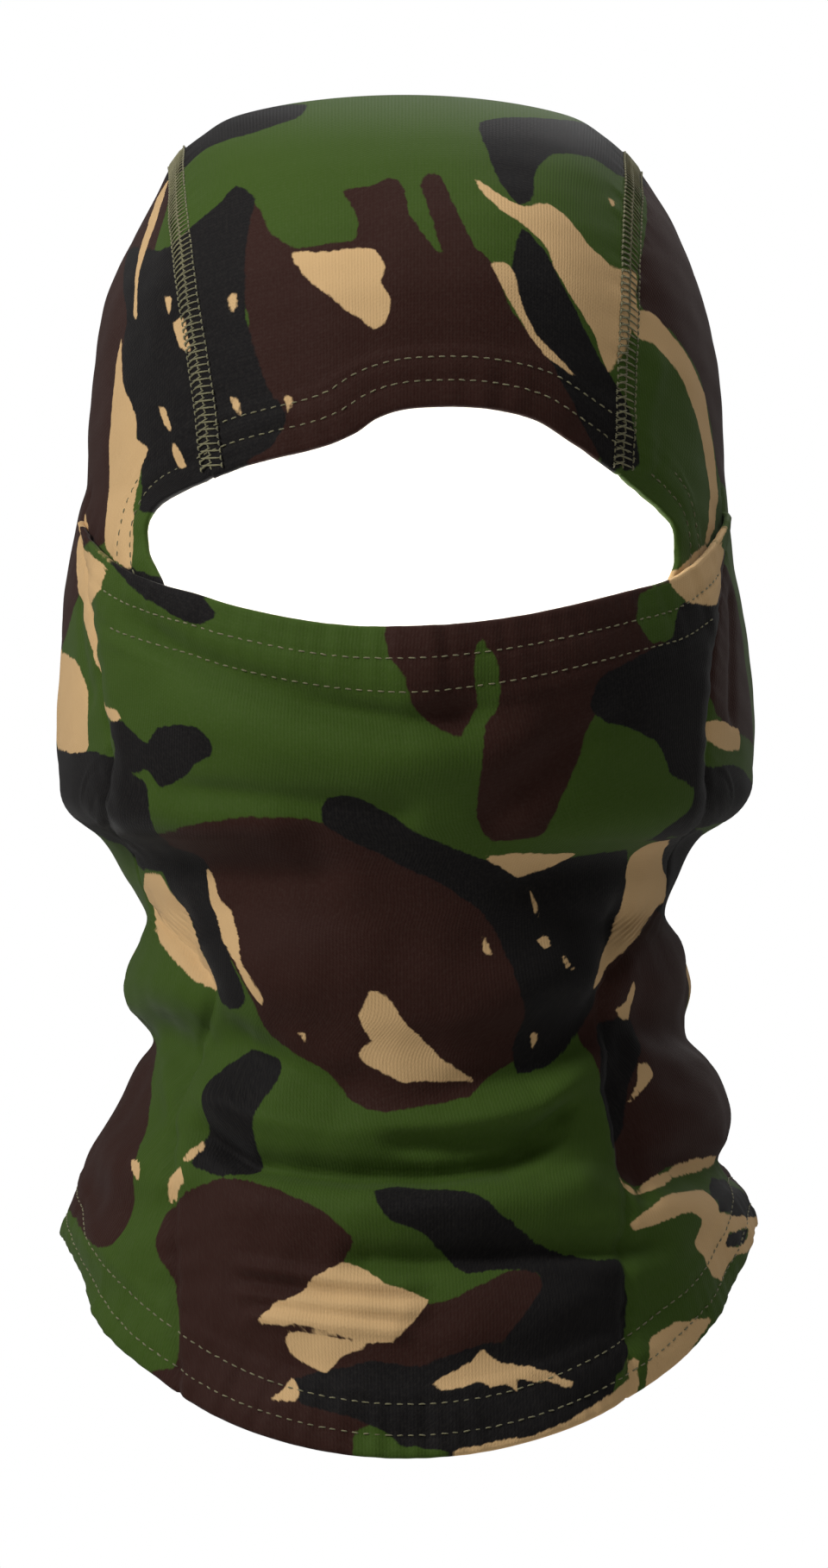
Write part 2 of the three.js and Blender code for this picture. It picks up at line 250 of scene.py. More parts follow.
def outward(points):
    """Directions straight out of the form at points on it."""

    def fill(p):
        depth = np.maximum(TOP - p[..., 2], 0.02)
        centre = CENTRE(depth)
        reach = np.where(p[..., 1] < centre, FRONT(depth) + centre, BACK(depth) - centre)
        across = np.abs(p[..., 0]) / half_width(p[..., 0], depth)
        return across ** FULLNESS + (np.abs(p[..., 1] - centre) / reach) ** FULLNESS

    way = np.stack([fill(points + step) - fill(points - step) for step in 0.3 * np.eye(3)], -1)
    return way / np.linalg.norm(way, axis=-1, keepdims=True)


# ---------------------------------------------------------------- seam and edge lines

CROWN_SEAM_LEFT = curve_through((0, 59), (20, 58.8), (45, 57.9), (80, 56.2), (99, 55.4), (120, 54))
CROWN_SEAM_RIGHT = curve_through((0, 58.8), (16, 58.7), (43, 56.4), (81, 51), (99, 48.6), (120, 47))
CROWN_SEAM_BACK = curve_through((0, 58.9), (18, 58.9), (45, 57.4), (103, 52), (190, 38), (330, 35))
BROW_EDGE = curve_through(
    (-70, 112), (-60, 104.4), (-52, 100.7), (-44, 97.1), (-36, 94.7), (-21, 91.1), (-13, 87.8),
    (-7, 83.8), (0, 81.6), (10, 80.9), (18, 81.1), (26, 82.2), (34, 84.5), (41, 88.9), (49, 94.2),
    (57, 100), (65, 106.7), (70, 112),
)
HOOD_EDGE_LEFT = curve_through(
    (99, 55.4), (106, 64), (111, 69), (116, 70.4), (121, 70), (128, 68), (136, 65), (148, 62),
    (162, 63), (175, 68), (186, 75),
)
HOOD_EDGE_RIGHT = curve_through(
    (99, 48.6), (101, 52.6), (104.4, 60), (108, 65), (113, 66.9), (117, 66.8), (121, 65.4),
    (127, 62.6), (137, 59.8), (149, 58.6), (162, 61), (175, 67), (186, 74.6),
)
SIDE_SEAM_LEFT = curve_through(
    (100, 82.2), (106, 83.2), (114, 82.4), (130, 80.8), (154, 78), (172, 76.9), (186, 75), (194, 73.2),
    (203, 68.6), (212, 64.6), (222, 57.5), (234, 51.5), (250, 53), (265, 55), (283, 57),
    (296, 57.2), (331, 57.5), (352, 57.4),
)
SIDE_SEAM_RIGHT = curve_through(
    (100, 81.6), (109, 83.4), (118, 82), (136, 79.4), (154, 77.3), (172, 74.4), (186, 74.6), (194, 74),
    (203, 69.4), (212, 64), (222, 56), (235, 50.4), (250, 54), (265, 58.4), (283, 59.8),
    (330, 58.8), (352, 58),
)
MASK_EDGE = curve_through(
    (-90, 102), (-84, 109.5), (-78, 117), (-70, 124), (-60, 128.4), (-52, 130.7), (-44, 133.4),
    (-36, 135.4), (-28, 137.1), (-20, 138.4), (-12, 139.2), (0, 139.5), (10, 139), (26, 136.9),
    (41, 133.8), (57, 129.6), (65, 127.2), (72, 122.4), (78, 116), (84, 105), (90, 96),
)
CROWN_TOP_HALF = 58.9  # half width of the crown panel where its seams pass over the top
BROW_CORNER = 99  # depth where the crown seams meet the hood's front edge
FLAP_END = 186  # depth where the hood's front edge runs into the side seam under the mask
SHOULDER, BIB, BACK_HEM = 290, 349.5, 316  # depths of the bottom hem at the sides, front and back


def crown_seam(side, depth):
    return np.where(side > 0, CROWN_SEAM_LEFT(depth), CROWN_SEAM_RIGHT(depth))


def side_seam(side, depth):
    seam = np.where(side > 0, SIDE_SEAM_LEFT(depth), SIDE_SEAM_RIGHT(depth))
    return np.minimum(seam, 0.985 * half_width(side, depth))


def hood_edge(side, depth):
    """Half width of the side panel's front boundary: crown seam, face opening, side seam."""
    opening = np.where(side > 0, HOOD_EDGE_LEFT(depth), HOOD_EDGE_RIGHT(depth))
    lower = np.where(depth < FLAP_END, opening, side_seam(side, depth))
    return np.where(depth < BROW_CORNER, crown_seam(side, depth), lower)


def hem_depth(x, behind):
    """Depth of the bottom hem, which rises over the shoulders and hangs as a round bib in front."""
    half = np.where(x > 0, 90, 88.5)
    inward = np.sqrt(np.maximum(1 - (x / half) ** 2, 0))
    saddle = 0.15
    dip = (np.hypot(inward, saddle) - saddle) / (math.hypot(1, saddle) - saddle)
    return SHOULDER + (BIB - SHOULDER + behind * (BACK_HEM - BIB)) * dip ** 0.92


def back_share(turn):
    """How far a place belongs to the back of the hem: 0 in front, 1 behind, passing over the shoulder."""
    return smooth(np.sin(turn), 0.3, -0.3)


# ---------------------------------------------------------------- folds


def line_distance(p, q, line, closed=False):
    """Distance of points (p, q) from a line of points, and where along it the nearest lies."""
    line = np.asarray(line, float)
    ends = np.roll(line, -1, 0) if closed else line[1:]
    best = np.full(p.shape, 1e9)
    place = np.zeros(p.shape)
    for k, (a, b) in enumerate(zip(line, ends)):
        way = b - a
        t = np.clip(((p - a[0]) * way[0] + (q - a[1]) * way[1]) / max(way @ way, 1e-9), 0, 1)
        gap = np.hypot(p - a[0] - t * way[0], q - a[1] - t * way[1])
        nearer = gap < best
        best = np.where(nearer, gap, best)
        place = np.where(nearer, k + t, place)
    return best, place / max(len(ends), 1)


# Folds of the worn cloth: line of (x, depth) points seen from the front, height, half width.
# Valleys are negative. Past the side outline x runs on round the cloth.
FOLDS = [
    ([(-80, 196), (-66, 198), (-45, 200), (-10, 203)], -3.0, 6),
    ([(80, 195), (66, 197), (50, 200), (20, 204)], -3.0, 6),
    ([(-95, 180), (-75, 184), (-50, 187), (-20, 189)], 2.2, 7),
    ([(95, 179), (75, 184), (50, 187), (20, 189)], 2.2, 7),
    ([(-62, 206), (-56, 220), (-50, 234), (-40, 246), (-22, 253), (0, 256)], -2.6, 5),
    ([(58, 204), (54, 222), (48, 238), (38, 250), (20, 256), (0, 258)], -2.8, 5),
    ([(-50, 212), (-34, 230), (-12, 240), (10, 241), (34, 230), (48, 212)], 2.4, 8),
    ([(-54, 265), (-40, 275), (-14, 278), (8, 278), (26, 275), (44, 266)], -5.6, 3.2),
    ([(-56, 255), (-40, 263), (-18, 267), (10, 265), (34, 260), (50, 248)], 3.8, 5),
    ([(-8, 270), (14, 271), (32, 268), (46, 258)], -3.2, 2.6),
    ([(-50, 285), (-25, 287), (5, 287), (35, 284), (55, 276)], 3.4, 6),
    ([(-20, 299), (5, 300), (34, 297.5), (72, 296)], -3.6, 3.2),
    ([(-46, 301), (-20, 305), (8, 307)], 2.4, 2.2),
    ([(-46, 308), (-20, 311), (8, 313.5)], 2.4, 2.2),
    ([(-42, 314), (-20, 316.5), (4, 319)], 2.2, 2),
    ([(-60, 309), (-30, 318), (0, 322), (30, 318), (56, 306)], 1.2, 6),
    ([(-66, 240), (-60, 252), (-56, 268), (-54, 284)], 1.5, 4),
    ([(56, 240), (54, 256), (58, 274), (64, 288)], -2.2, 4),
    ([(98, 248), (84, 245), (68, 241), (54, 236)], -1.2, 5),
    ([(96, 279), (84, 279), (68, 281), (58, 284)], -1.2, 5),
    ([(-98, 250), (-84, 247), (-66, 243), (-52, 240)], -1.2, 5),
    ([(-74, 132), (-50, 148), (-24, 157), (0, 162), (24, 159)], -3.6, 4.5),
    ([(-66, 156), (-36, 166), (-8, 172), (20, 170), (40, 160)], 2.2, 7),
    ([(-62, 178), (-36, 181), (-14, 183), (6, 186)], -2.2, 3.5),
    ([(60, 158), (40, 168), (26, 180), (18, 190)], -1.4, 5),
    ([(-60, 168), (-30, 176), (5, 178), (30, 173)], 0.9, 9),
    ([(84, 126), (85, 145), (84, 165)], -1.2, 3),
    ([(-84, 128), (-83, 145), (-80, 160)], -0.9, 3),
    ([(-66, 60), (-58, 80), (-56, 96)], 0.7, 4),
    ([(66, 66), (62, 84), (62, 100)], 0.7, 4),
]
# The same, behind: (girth, depth) with girth measured from the middle of the back.
BACK_FOLDS = [
    ([(-104, 211), (-60, 208), (0, 206), (60, 209), (104, 212)], -2.8, 6),
    ([(-110, 229), (-70, 226), (0, 224), (70, 228), (110, 231)], 2.6, 7),
    ([(-100, 248), (-55, 245), (5, 243), (60, 245), (100, 248)], -2.4, 5),
    ([(-96, 266), (-50, 262), (20, 262), (84, 266)], 2.0, 7),
    ([(-70, 286), (-20, 280), (40, 281), (90, 288)], -1.6, 5),
    ([(-60, 190), (0, 186), (60, 190)], 1.4, 8),
]


def noise(points, size, seed):
    """Smooth repeatable unevenness between -1 and 1, with waves about size long."""
    rng = np.random.default_rng(seed)
    total = np.zeros(points.shape[:-1])
    for _ in range(7):
        way = rng.normal(size=3)
        way *= 2 * math.pi / (np.linalg.norm(way) * size * rng.uniform(0.7, 1.5))
        total += np.sin(points @ way + rng.uniform(0, 2 * math.pi))
    return total / 4


def fold_height(points, turn, depth):
    """How far the cloth stands out of the form, the same for every panel at a seam."""
    around = girth(turn, depth)
    height = 0.5 * noise(points, 60, 3) + 0.22 * noise(points * [1, 1, 1.6], 19, 5)
    height *= smooth(depth, 4, 30)
    loose = smooth(depth, 185, 230)
    height += loose * (1.2 * noise(points * [1, 1, 2.2], 46, 8) + 0.35 * noise(points, 15, 9))
    near_front = np.abs(around) < 190
    for line, rise, width in FOLDS:
        route = [(float(seen_girth(x, d)), d) for x, d in line]
        gap, place = line_distance(around, depth, route)
        ends = smooth(place, 0, 0.15) * smooth(place, 1, 0.85)
        height += np.where(near_front, rise * ends * np.exp(-((gap / width) ** 2)), 0)
    behind = girth_behind(around, depth)
    for line, rise, width in BACK_FOLDS:
        gap, place = line_distance(behind, depth, line)
        ends = smooth(place, 0, 0.2) * smooth(place, 1, 0.8)
        height += rise * ends * np.exp(-((gap / width) ** 2))
    bridge = np.exp(-(((around - 3) / 13) ** 2)) * smooth(depth, 122, 150) * smooth(depth, 182, 160)
    return height + 3.2 * bridge


# ---------------------------------------------------------------- panels of cloth as grids of points


def even(path, count):
    """A path of points taken again at even steps."""
    steps = np.linalg.norm(np.diff(path, axis=0), axis=1)
    length = np.concatenate([[0], np.cumsum(steps)])
    places = np.linspace(0, length[-1], count)
    return np.stack([np.interp(places, length, column) for column in path.T], -1)


def reach_at(x, depth, behind):
    """The y of a point of the form at x."""
    centre = CENTRE(depth)
    ratio = np.clip(np.abs(x) / np.maximum(half_width(x, depth), 1e-6), 0, 1)
    inward = (1 - ratio**FULLNESS) ** (1 / FULLNESS)
    return centre + np.where(behind, BACK(depth) - centre, -FRONT(depth) - centre) * inward


def ridge_depth(x):
    """Depth where the form is as wide as x: its upper outline seen from the front."""
    depths = np.linspace(0, 80, 3201)
    left, right = HALF_LEFT(depths), HALF_RIGHT(depths)
    return np.where(x > 0, np.interp(np.abs(x), left, depths), np.interp(np.abs(x), right, depths))


CROWN_SHARES = np.linspace(-1, 1, 93)
CROWN_ROWS = 430
SIDE_ROWS, SIDE_COLUMNS = 250, 138
FACE_ROWS, FACE_COLUMNS = 178, 196


def crown_grid():
    """Rows from the brow over the top to the nape, columns from the right seam to the left."""
    t = np.linspace(0, 1, 300)
    columns = []
    for share in CROWN_SHARES:
        brow, hem = 90.0, 310.0
        for _ in range(6):
            brow = float(BROW_EDGE(share * crown_seam(share, brow)))
            hem = float(hem_depth(share * CROWN_SEAM_BACK(hem), True))
        top = float(ridge_depth(share * crown_seam(share, 18.0)))
        front = top + (brow - top) * (1 - t) ** 2
        back = top + (hem - top) * t[1:] ** 2
        depth = np.concatenate([front, back])
        behind = np.arange(len(depth)) >= len(front)
        blend = smooth(depth, top, top + 25)
        x = share * np.where(behind, CROWN_SEAM_BACK(depth), crown_seam(share, depth))
        x = share * crown_seam(share, top) * (1 - blend) + x * blend
        y = reach_at(x, depth, behind)
        columns.append(even(np.stack([x, y, TOP - depth], -1), CROWN_ROWS))
    return np.array(columns).transpose(1, 0, 2)


def side_grid(side):
    """Rows from the top down, columns from the front boundary to the crown panel's back seam."""
    top = float(ridge_depth(side * CROWN_TOP_HALF))
    depth = top + (BROW_CORNER - top) * np.linspace(0, 1, 400) ** 2
    x = side * np.minimum(crown_seam(side, depth), half_width(side, depth))
    seam = np.stack([x, reach_at(x, depth, False), TOP - depth], -1)
    walked = np.concatenate([[0], np.cumsum(np.linalg.norm(np.diff(seam, axis=0), axis=1))])
    loose = 205.0
    depth = np.append(depth, [loose, loose + 100])
    walked = np.append(walked, [walked[-1] + loose - BROW_CORNER, walked[-1] + loose - BROW_CORNER + 122])
    level = np.interp(np.linspace(0, walked[-1], SIDE_ROWS), walked, depth)
    level = np.repeat(level[:, None], SIDE_COLUMNS, 1)
    column = np.repeat(np.linspace(0, 1, SIDE_COLUMNS)[None], SIDE_ROWS, 0)
    depth = level.copy()
    for _ in range(7):
        half = half_round(side, depth)
        start = girth(turn_at(side * hood_edge(side, depth), depth), depth) / half
        stop = girth(turn_at(side * CROWN_SEAM_BACK(depth), depth, True), depth) / half
        turn = turn_of_share(start + (stop - start) * column, depth)
        x = form(turn, depth)[..., 0]
        hem = hem_depth(x, back_share(turn))
        depth = np.where(level > loose, loose + (hem - loose) * (level - loose) / 100, level)
    return form(turn, depth)


def face_grid():
    """Rows from the mask's edge down to the bib hem, columns from the right side seam to the left."""
    row = np.repeat(np.linspace(0, 1, FACE_ROWS)[:, None], FACE_COLUMNS, 1)
    column = np.repeat(np.linspace(0, 1, FACE_COLUMNS)[None], FACE_ROWS, 0)
    depth = 120 + 210 * row
    for _ in range(9):
        start, stop = (
            girth(turn_at(side * side_seam(side, depth), depth), depth) / half_round(side, depth)
            for side in (-1, 1)
        )
        turn = turn_of_share(start + (stop - start) * column, depth)
        x = form(turn, depth)[..., 0]
        top = MASK_EDGE(x)
        depth = top + (hem_depth(x, False) - top) * row
    return form(turn, depth)


class Line:
    """A seam or edge on the form, with the distance of points from it and how far along they are."""

    def __init__(self, path):
        steps = np.linalg.norm(np.diff(path, axis=0), axis=1).sum()
        self.path = even(path, max(int(steps / 0.5), 2))
        self.spacing = steps / (len(self.path) - 1)
        self.tree = KDTree(len(self.path))
        for k, point in enumerate(self.path):
            self.tree.insert(point, k)
        self.tree.balance()

    def near(self, points, reach=26):
        flat = points.reshape(-1, 3)
        gap, place = np.full(len(flat), 1e3), np.zeros(len(flat))
        low, high = self.path.min(0) - reach, self.path.max(0) + reach
        for k in np.nonzero(((flat > low) & (flat < high)).all(1))[0]:
            _, index, distance = self.tree.find(flat[k])
            gap[k], place[k] = distance, index * self.spacing
        return gap.reshape(points.shape[:-1]), place.reshape(points.shape[:-1])


def ripple(place, wave, seed):
    """Uneven waves about wave long, between about -1 and 1."""
    rng = np.random.default_rng(seed)
    return sum(
        np.sin(place * 2 * math.pi / (wave * rng.uniform(0.6, 1.7)) + rng.uniform(0, 6.28))
        for _ in range(4)
    ) / 2.4


def hem_relief(gap, place, width, rows, seed):
    """A turned hem: twice as thick, pressed down along its rows and slightly puckered."""
    relief = 0.45 * smooth(gap, width + 1, width - 0.6)
    for row in rows:
        relief = relief - 0.32 * np.exp(-(((gap - row) / 0.9) ** 2))
    return relief + 0.22 * ripple(place, 7, seed) * smooth(gap, width + 6, 2)


def seam_relief(gap, place, seed):
    """A sewn seam, sunk between its cloths, which pucker beside it."""
    dip = -1.1 * np.exp(-((gap / 1.9) ** 2))
    return dip + 0.42 * ripple(place, 10, seed) * np.exp(-((gap / 8) ** 2))


def flat_seam_relief(gap, place, seed):
    """A flat seam: raised a little under its ladder of thread."""
    band = 0.3 * smooth(gap, 4.2, 2.8)
    return band + 0.28 * ripple(place, 6, seed) * np.exp(-((gap / 6) ** 2)) * smooth(gap, 1, 3)


class Panel:
    """One cut piece of cloth: its form, the worn surface over it, and what it is sewn by."""

    def __init__(self, base, lines, lift=0.0):
        self.base = base
        self.depth = TOP - base[..., 2]
        self.turn = turn_of(base)
        self.out = outward(base)
        self.gaps = {}
        height = fold_height(base, self.turn, self.depth) + lift
        for key, relief in lines.items():
            gap, place = LINES[key].near(base)
            self.gaps[key] = gap
            height = height + relief(gap, place)
        self.height = height
        self.outer = base + self.out * height[..., None]

    def row(self, key, distance, across):
        """Points and outward directions along a row at a distance from an edge. Each line of the
        grid, a row of it if across, gives the one point where it crosses that distance."""
        gap, outer, out = (
            a if across else np.swapaxes(a, 0, 1) for a in (self.gaps[key], self.outer, self.out)
        )
        found = []
        for line, points, ways in zip(gap, outer, out):
            start = int(np.argmin(line))
            step = 1 if start < len(line) / 2 else -1
            k = start
            while 0 <= k + step < len(line) and line[k] < distance:
                k += step
            if line[start] > 1.0 or line[k] < distance or k == start:
                continue
            t = (distance - line[k - step]) / (line[k] - line[k - step])
            found.append((points[k - step] + t * (points[k] - points[k - step]), ways[k]))
        return found


def line_of(xs, depths, behind=False):
    xs, depths = np.broadcast_arrays(np.asarray(xs, float), np.asarray(depths, float))
    return np.stack([xs, reach_at(xs, depths, behind), TOP - depths], -1)


def edge_lines():
    """Every seam and edge that a panel has, as a Line."""
    lines = {}
    opening = []
    for side in (-1, 1):
        word = "left" if side > 0 else "right"
        top = float(ridge_depth(side * CROWN_TOP_HALF))
        front = top + (BROW_CORNER - top) * np.linspace(1, 0, 300) ** 2
        back = top + (312 - top) * np.linspace(0, 1, 500) ** 2
        front_x = side * np.minimum(crown_seam(side, front), half_width(side, front))
        back_x = side * np.minimum(CROWN_SEAM_BACK(back), half_width(side, back))
        lines["crown_" + word] = Line(
            np.concatenate([line_of(front_x, front), line_of(back_x, back, True)])
        )
        depth = np.linspace(104, 334, 400)
        lines["side_" + word] = Line(line_of(side * side_seam(side, depth), depth))
        depth = np.linspace(FLAP_END, BROW_CORNER, 160)
        edge = line_of(side * hood_edge(side, depth), depth)
        opening.append(edge if side < 0 else edge[::-1])
    brow_x = np.linspace(-48.4, 55.4, 200)
    opening.insert(1, line_of(brow_x, BROW_EDGE(brow_x)))
    lines["opening"] = Line(np.concatenate(opening))
    mask_x = np.concatenate([np.linspace(-82, -60, 60), np.linspace(-59, 59, 160), np.linspace(60, 82, 60)])
    lines["mask"] = Line(line_of(mask_x, MASK_EDGE(mask_x)))
    turn = np.linspace(0, 2 * math.pi, 700)
    depth = np.full_like(turn, 310.0)
    for _ in range(12):
        depth = hem_depth(form(turn, depth)[:, 0], back_share(turn))
    lines["hem"] = Line(form(turn, depth))
    return lines


LINES = edge_lines()


# ---------------------------------------------------------------- the printed pattern

# Patches of the print, and one patch of painted shade, painted in this order on green: colour, then
# (x, depth) points seen from the front, running on round the cloth past the side outline. The black
# patch from -73,121 to -46,135.5, along the left of the mask's upper edge, is painted shade along
# that edge, not print.
PRINT_AND_SHADE_PATCHES = """
brown -50,34 -40,27 -35,36 -28,41 -13,39 -12,33 -16,26 -9,25 -2,23 2,34 7,41 10,43 8,37 4,24 7,21 10,23
    13,31 18,41 22,45 27,57 36,68 44,77 52,92 40,100 0,106 -60,112 -45,80 -40,60
brown 55,12 60,20 60,45 60,56 68,62 76,73 79,85 81,100 92,102 96,60 90,30 75,18 66,8
brown -60,22 -62,32 -65,42 -68,55 -68,70 -70,85 -72,110 -80,118 -98,118 -98,40 -80,15
brown -84,112 -83,125 -86,135 -88,142 -97,145 -97,110
brown -5,140 0,134 20,133 30,133 18,143 17,150 18,158 14,165 8,163 2,158 0,150 -4,146
brown 18,137 20,132 40,131 58,126 66,127 67,142 58,148 52,152 49,156 46,163 43,172 37,184 32,190 22,192
    18,186 18.5,172 20,162 23,158 23,147 20,143
brown 80,118 84,125 87,140 89,155 90,168 86,165 83,163 80,160 77,150 78,138 78,126
brown -66,191 -55,187 -40,185 -26,186 -15,189 0,195 14,201 26,207 32,216 36,228 34,245 22,253 17,258
    8,260 -6,262 -14,259 -20,252 -27,248 -33,243 -38,234 -42,226 -46,215 -50,206 -55,200
brown -64,246 -65,254 -66.5,264 -68,275 -70,285 -73,294 -77,298 -84,291 -92,285 -98,262 -80,244
brown -62,288 -56,283 -46,279 -36,281 -26,285 -18,290 -13,295 -16,301 -11,303 -4,307 5,311 12,310 20,306
    26,303 33,302 37,307 33,315 26,321 20,325 8,333 -4,340 -20,345 -35,345 -60,345 -70,335 -60,328
    -58,318 -60,306 -64,297
brown -62,328 -20,334 -12,338 -13,352 -20,362 -50,360 -70,335
brown 66,210 72,216 78,224 78,232 74,240 79,246 84,252 88,262 88,271 82,275 70,276 60,281 56,278 54,268
    51,256 47,246 46,238 50,230 54,222 60,214
black -63,17 -56,10 -40,4 -25,3 -28,7 -40,11 -50,14 -58,21 -62,23
black -71,40 -72,56 -71,70 -69.5,84 -68,96 -66,108 -57,106 -56,60 -60,42
black -55,36 -48,30 -43,25 -38,28 -40,35 -41,50 -40,62 -36,75 -30,84 -34,92 -45,99 -60,108 -68,108
    -66,96 -69,88 -72,80 -73,66 -70,52 -69,44 -60,40
black 19,8 28,6.5 40,7 52,10 60,16 63,24 56,22 48,17 38,16.5 34,20 32.5,28 29,30 25,25 22,18
black 30,36 36,42 40,50 45,60 50,70 56,80 60,96 52,98 45,86 38,72 30,60 27,50 28,44
black -75,163 -71,161.5 -67,165 -64,167 -61,163.5 -54,162.5 -50,163 -47,166 -47,170 -51,172 -55,176
    -60,178 -64,174 -70,175 -74,172 -72,168
black -96,169 -86,168 -76,171 -70,174 -64,177 -62,184 -60,192 -62,201 -69,201 -76,195 -86,190 -96,184
black -73,121 -64,125 -58,127 -50,131 -46,135.5 -51,138 -58,135 -68,127.5
green 58,131 62,128 68,127 68,134 67,141 61,142.5 57,137
black 61,144 66,141 68,133 76,130 80,134 80,140 78,155 76,166 75,172 79,174 84,173 88,177 87,184 80,188
    74,190 66,189 60,192 64,187 70,182 71,178 66,175 63,168 57,163.5 50,162 46,158 48,151 55,147
black -19,181 -14,180 -8,183 0,188 10,193 20,197 30,200.5 36,199.5 46,197.5 58,195.5 60,204 56,214
    52,224 50,236 44,244 38,250 30,252 28,245 30,236 26,222 20,211 10,204 0,199 -12,193 -20,188 -21,184
black -72,194 -60,195 -54,198 -50,206 -45,215 -42,226 -40,234 -45,236 -50,232 -52,222 -58,210 -64,202
    -70,199
black -40,246 -33,249 -33,254 -37,264 -39,276 -46,279 -54,276 -50,266 -49,256 -46,251
black -8,283 -2,281 8,282 18,284 26,290 34,295 42,298 50,300 56,300 58,312 57,325 52,332 46,336 36,334
    30,328 24,322 30,314 35,307 34,303 26,302 16,303 10,298 4,293 -4,290
black -30,331 -20,328 -6,326 4,327 12,324 24,321 44,326 54,330 52,338 46,343 38,346 28,347 10,350 0,349
    -4,344 -14,340 -26,337
black 62,190 72,190 84,192 82,204 72,216 66,212 64,206 68,198
black 50,240 58,238 60,246 58,256 57,268 54,272 52,262 50,252
black 80,279 84,280 90,287 90,293 86,291 84,286 80,284
green -13,343.5 -4,344 -1,347 18,350.5 15,362 -12,362
tan -29,42 -20,42 -8,41 -5,46 -6.5,50 -3.5,54 -5,60 -8,61.5 -14,58 -20,53 -26,48
tan 18,23 24,27 30,30.5 37,29.5 42,33 47,40 53,45.5 59,47 59,58 56,67 52,73 48,63 42,53 38,46 36,41
    31,36 25,32 20,27
tan 22,45.5 27,46 30,56 34,64 40,70 44,74.5 41,72.5 36,69 31,62 26,53
tan -45,53 -43,52.5 -42.5,56 -44,57.5 -45.5,55.5
tan -61.5,53 -59.5,53.5 -60,58
tan -59.5,59.5 -56,58.5 -55,64 -54.5,67.5 -57.5,66.5 -59,62
tan -63,81.5 -61,82 -59,88 -61.5,86
tan -59,91.5 -57,92 -55,97 -57.5,97.5
tan -44.5,79 -43,80 -41.5,84 -43.5,82.5
tan -31,78.5 -28.5,79.5 -29.5,83
tan 52.5,27.5 55,28.5 53.5,29.5
tan -73.5,64 -72.5,76 -69.5,83 -69,90 -65.5,92 -67.5,98 -69,105 -69.5,118 -70,123.4 -77,117.5 -77,110
    -76.5,96 -76,84 -75,72
tan -61,22 -64,27 -66.5,34 -68,38 -69.5,48 -70,58 -69,58 -68.5,46 -66,38 -63.5,31
tan 58,56.5 63,57 68,62 74,70 77.5,78 79.5,90 80.5,103 80,112 77.5,118 76,126 79,104 77.5,93 75,83 70,72
    64,66 58,63
tan -82,108 -81,117 -76,121 -73,124 -76,130 -79,133 -77,142 -77,155 -79,148 -82,138 -84,130 -84,116
tan -90,143 -85,146 -82,155 -81.5,165 -82,170 -90,169 -98,165 -98,140
tan -77,157 -72,159 -70.5,161 -73,162 -76.5,159.5
tan 65,126 72,121 77,116.5 79.5,119 79,128 76.5,133 71,132.5 67,130
tan 77,163.5 80,162 86,164 86,169 81,169.5 77,166
tan 20,196.5 28,195.5 36,196 44,196.5 40,200 34,202 30,203 24,199
tan 66,192 69,194 68,200 67,208 62,215 56,222 50,231 49,229 53,220 56,212 57,206 60,198 63,193
tan -68,202 -64,203 -58,210 -54,218 -50.5,226 -50.5,232.5 -54,230 -60,223 -64,216 -66,209
tan -53,201.5 -51,203 -48,208 -44,211 -41,218 -40,225 -36,231 -35.5,234 -39,231 -42,224 -46,216 -50,209
tan 20,217 21.5,218.5 22.5,222 20,221
tan 33,206 34.5,209 34,213 33,210
tan 33.5,217.5 35.5,217 37,219.5 35,220.5
tan 39,222 42,225.5 40,225.5
tan 59,229 60,231 58,238 56,238.5 54,236.5 57,234
tan 32.5,242 34.5,242.5 33.5,245.5
tan -27,240.5 -24.5,241.5 -25,244
tan 60,250 62,250 64.5,252.5 62,256.5 59.5,259 58,260 60,255
tan -9,231 -5,232 0,238 5,244 10,249 18,254 14,254.5 0,254.5 -5,252.5 -10,250 -11.5,246.5 -8,244
    -10,240.5 -11.5,236.5
tan -69.5,275 -67,276 -67.5,280 -69,278
tan -60,279 -56.5,277 -55.5,280 -59,284 -61.5,286.5
tan -56,275 -52,270 -51.5,271.5 -54.5,275.5
tan -16,300.5 -11,302 -4,306 5,309.5 6,311 1,317 -3,321 -10,321 -16,319.5 -26,317 -37,316.5 -33,311.5
    -28,309 -22,304
tan -30,320 -27,318.5 -20,319.5 -10,322 -15,324 -20,328.5 -24,327 -29,324
tan -28.5,330 -27,333 -27.5,336 -34,336 -31,333
tan 7,332 10,329.5 17,326 20,323 24,325.5 32,327 38,329 43,331.5 41,333 37,331 33,331 29,330.5 29,333.5
    26,331.5 22,332.5 19,331 15,332.5 10,333
tan 12,349.5 22,346.5 33,344.8 40,342 46,338.5 52,334.8 58,330.5 60,331 60,340 54,350 44,358 30,362
    15,362
tan 57.5,325.5 59.5,326 59,331 57.5,330
tan 62,326 63,321 68,317 74,315.5 78,316 74,322 68,330 64,335 62,332
tan 58,291.5 60,289 66,284.5 72,282.5 78,281.5 81,284.5 84,289 92,291 92,296 85,300 82,306 79,305 77,300
    75,296 77,290 72,288 66,290.8 60,292.5
tan 55.5,279 59,283.4 66,281 72,278 80.5,276.2 80.5,274 72,275.6 64,279 60,281.4
black 82,282 86,284 85,288 82,288
black 84,294 88,293 87,297 83,297.5
"""


def read_patches(text):
    """A line that starts with a colour opens a patch, and the lines after it carry its outline on."""
    patches = []
    for line in text.strip().splitlines():
        words = line.split()
        if words[0].isalpha():
            patches.append((words.pop(0), []))
        patches[-1][1].extend([float(v) for v in point.split(",")] for point in words)
    return [(colour, np.array(points)) for colour, points in patches]


PATCHES = read_patches(PRINT_AND_SHADE_PATCHES)
PRINTED = ("brown", "black", "tan")
PAINT_REACH = 5.0  # distance from a patch's outline past which the pattern needn't know it


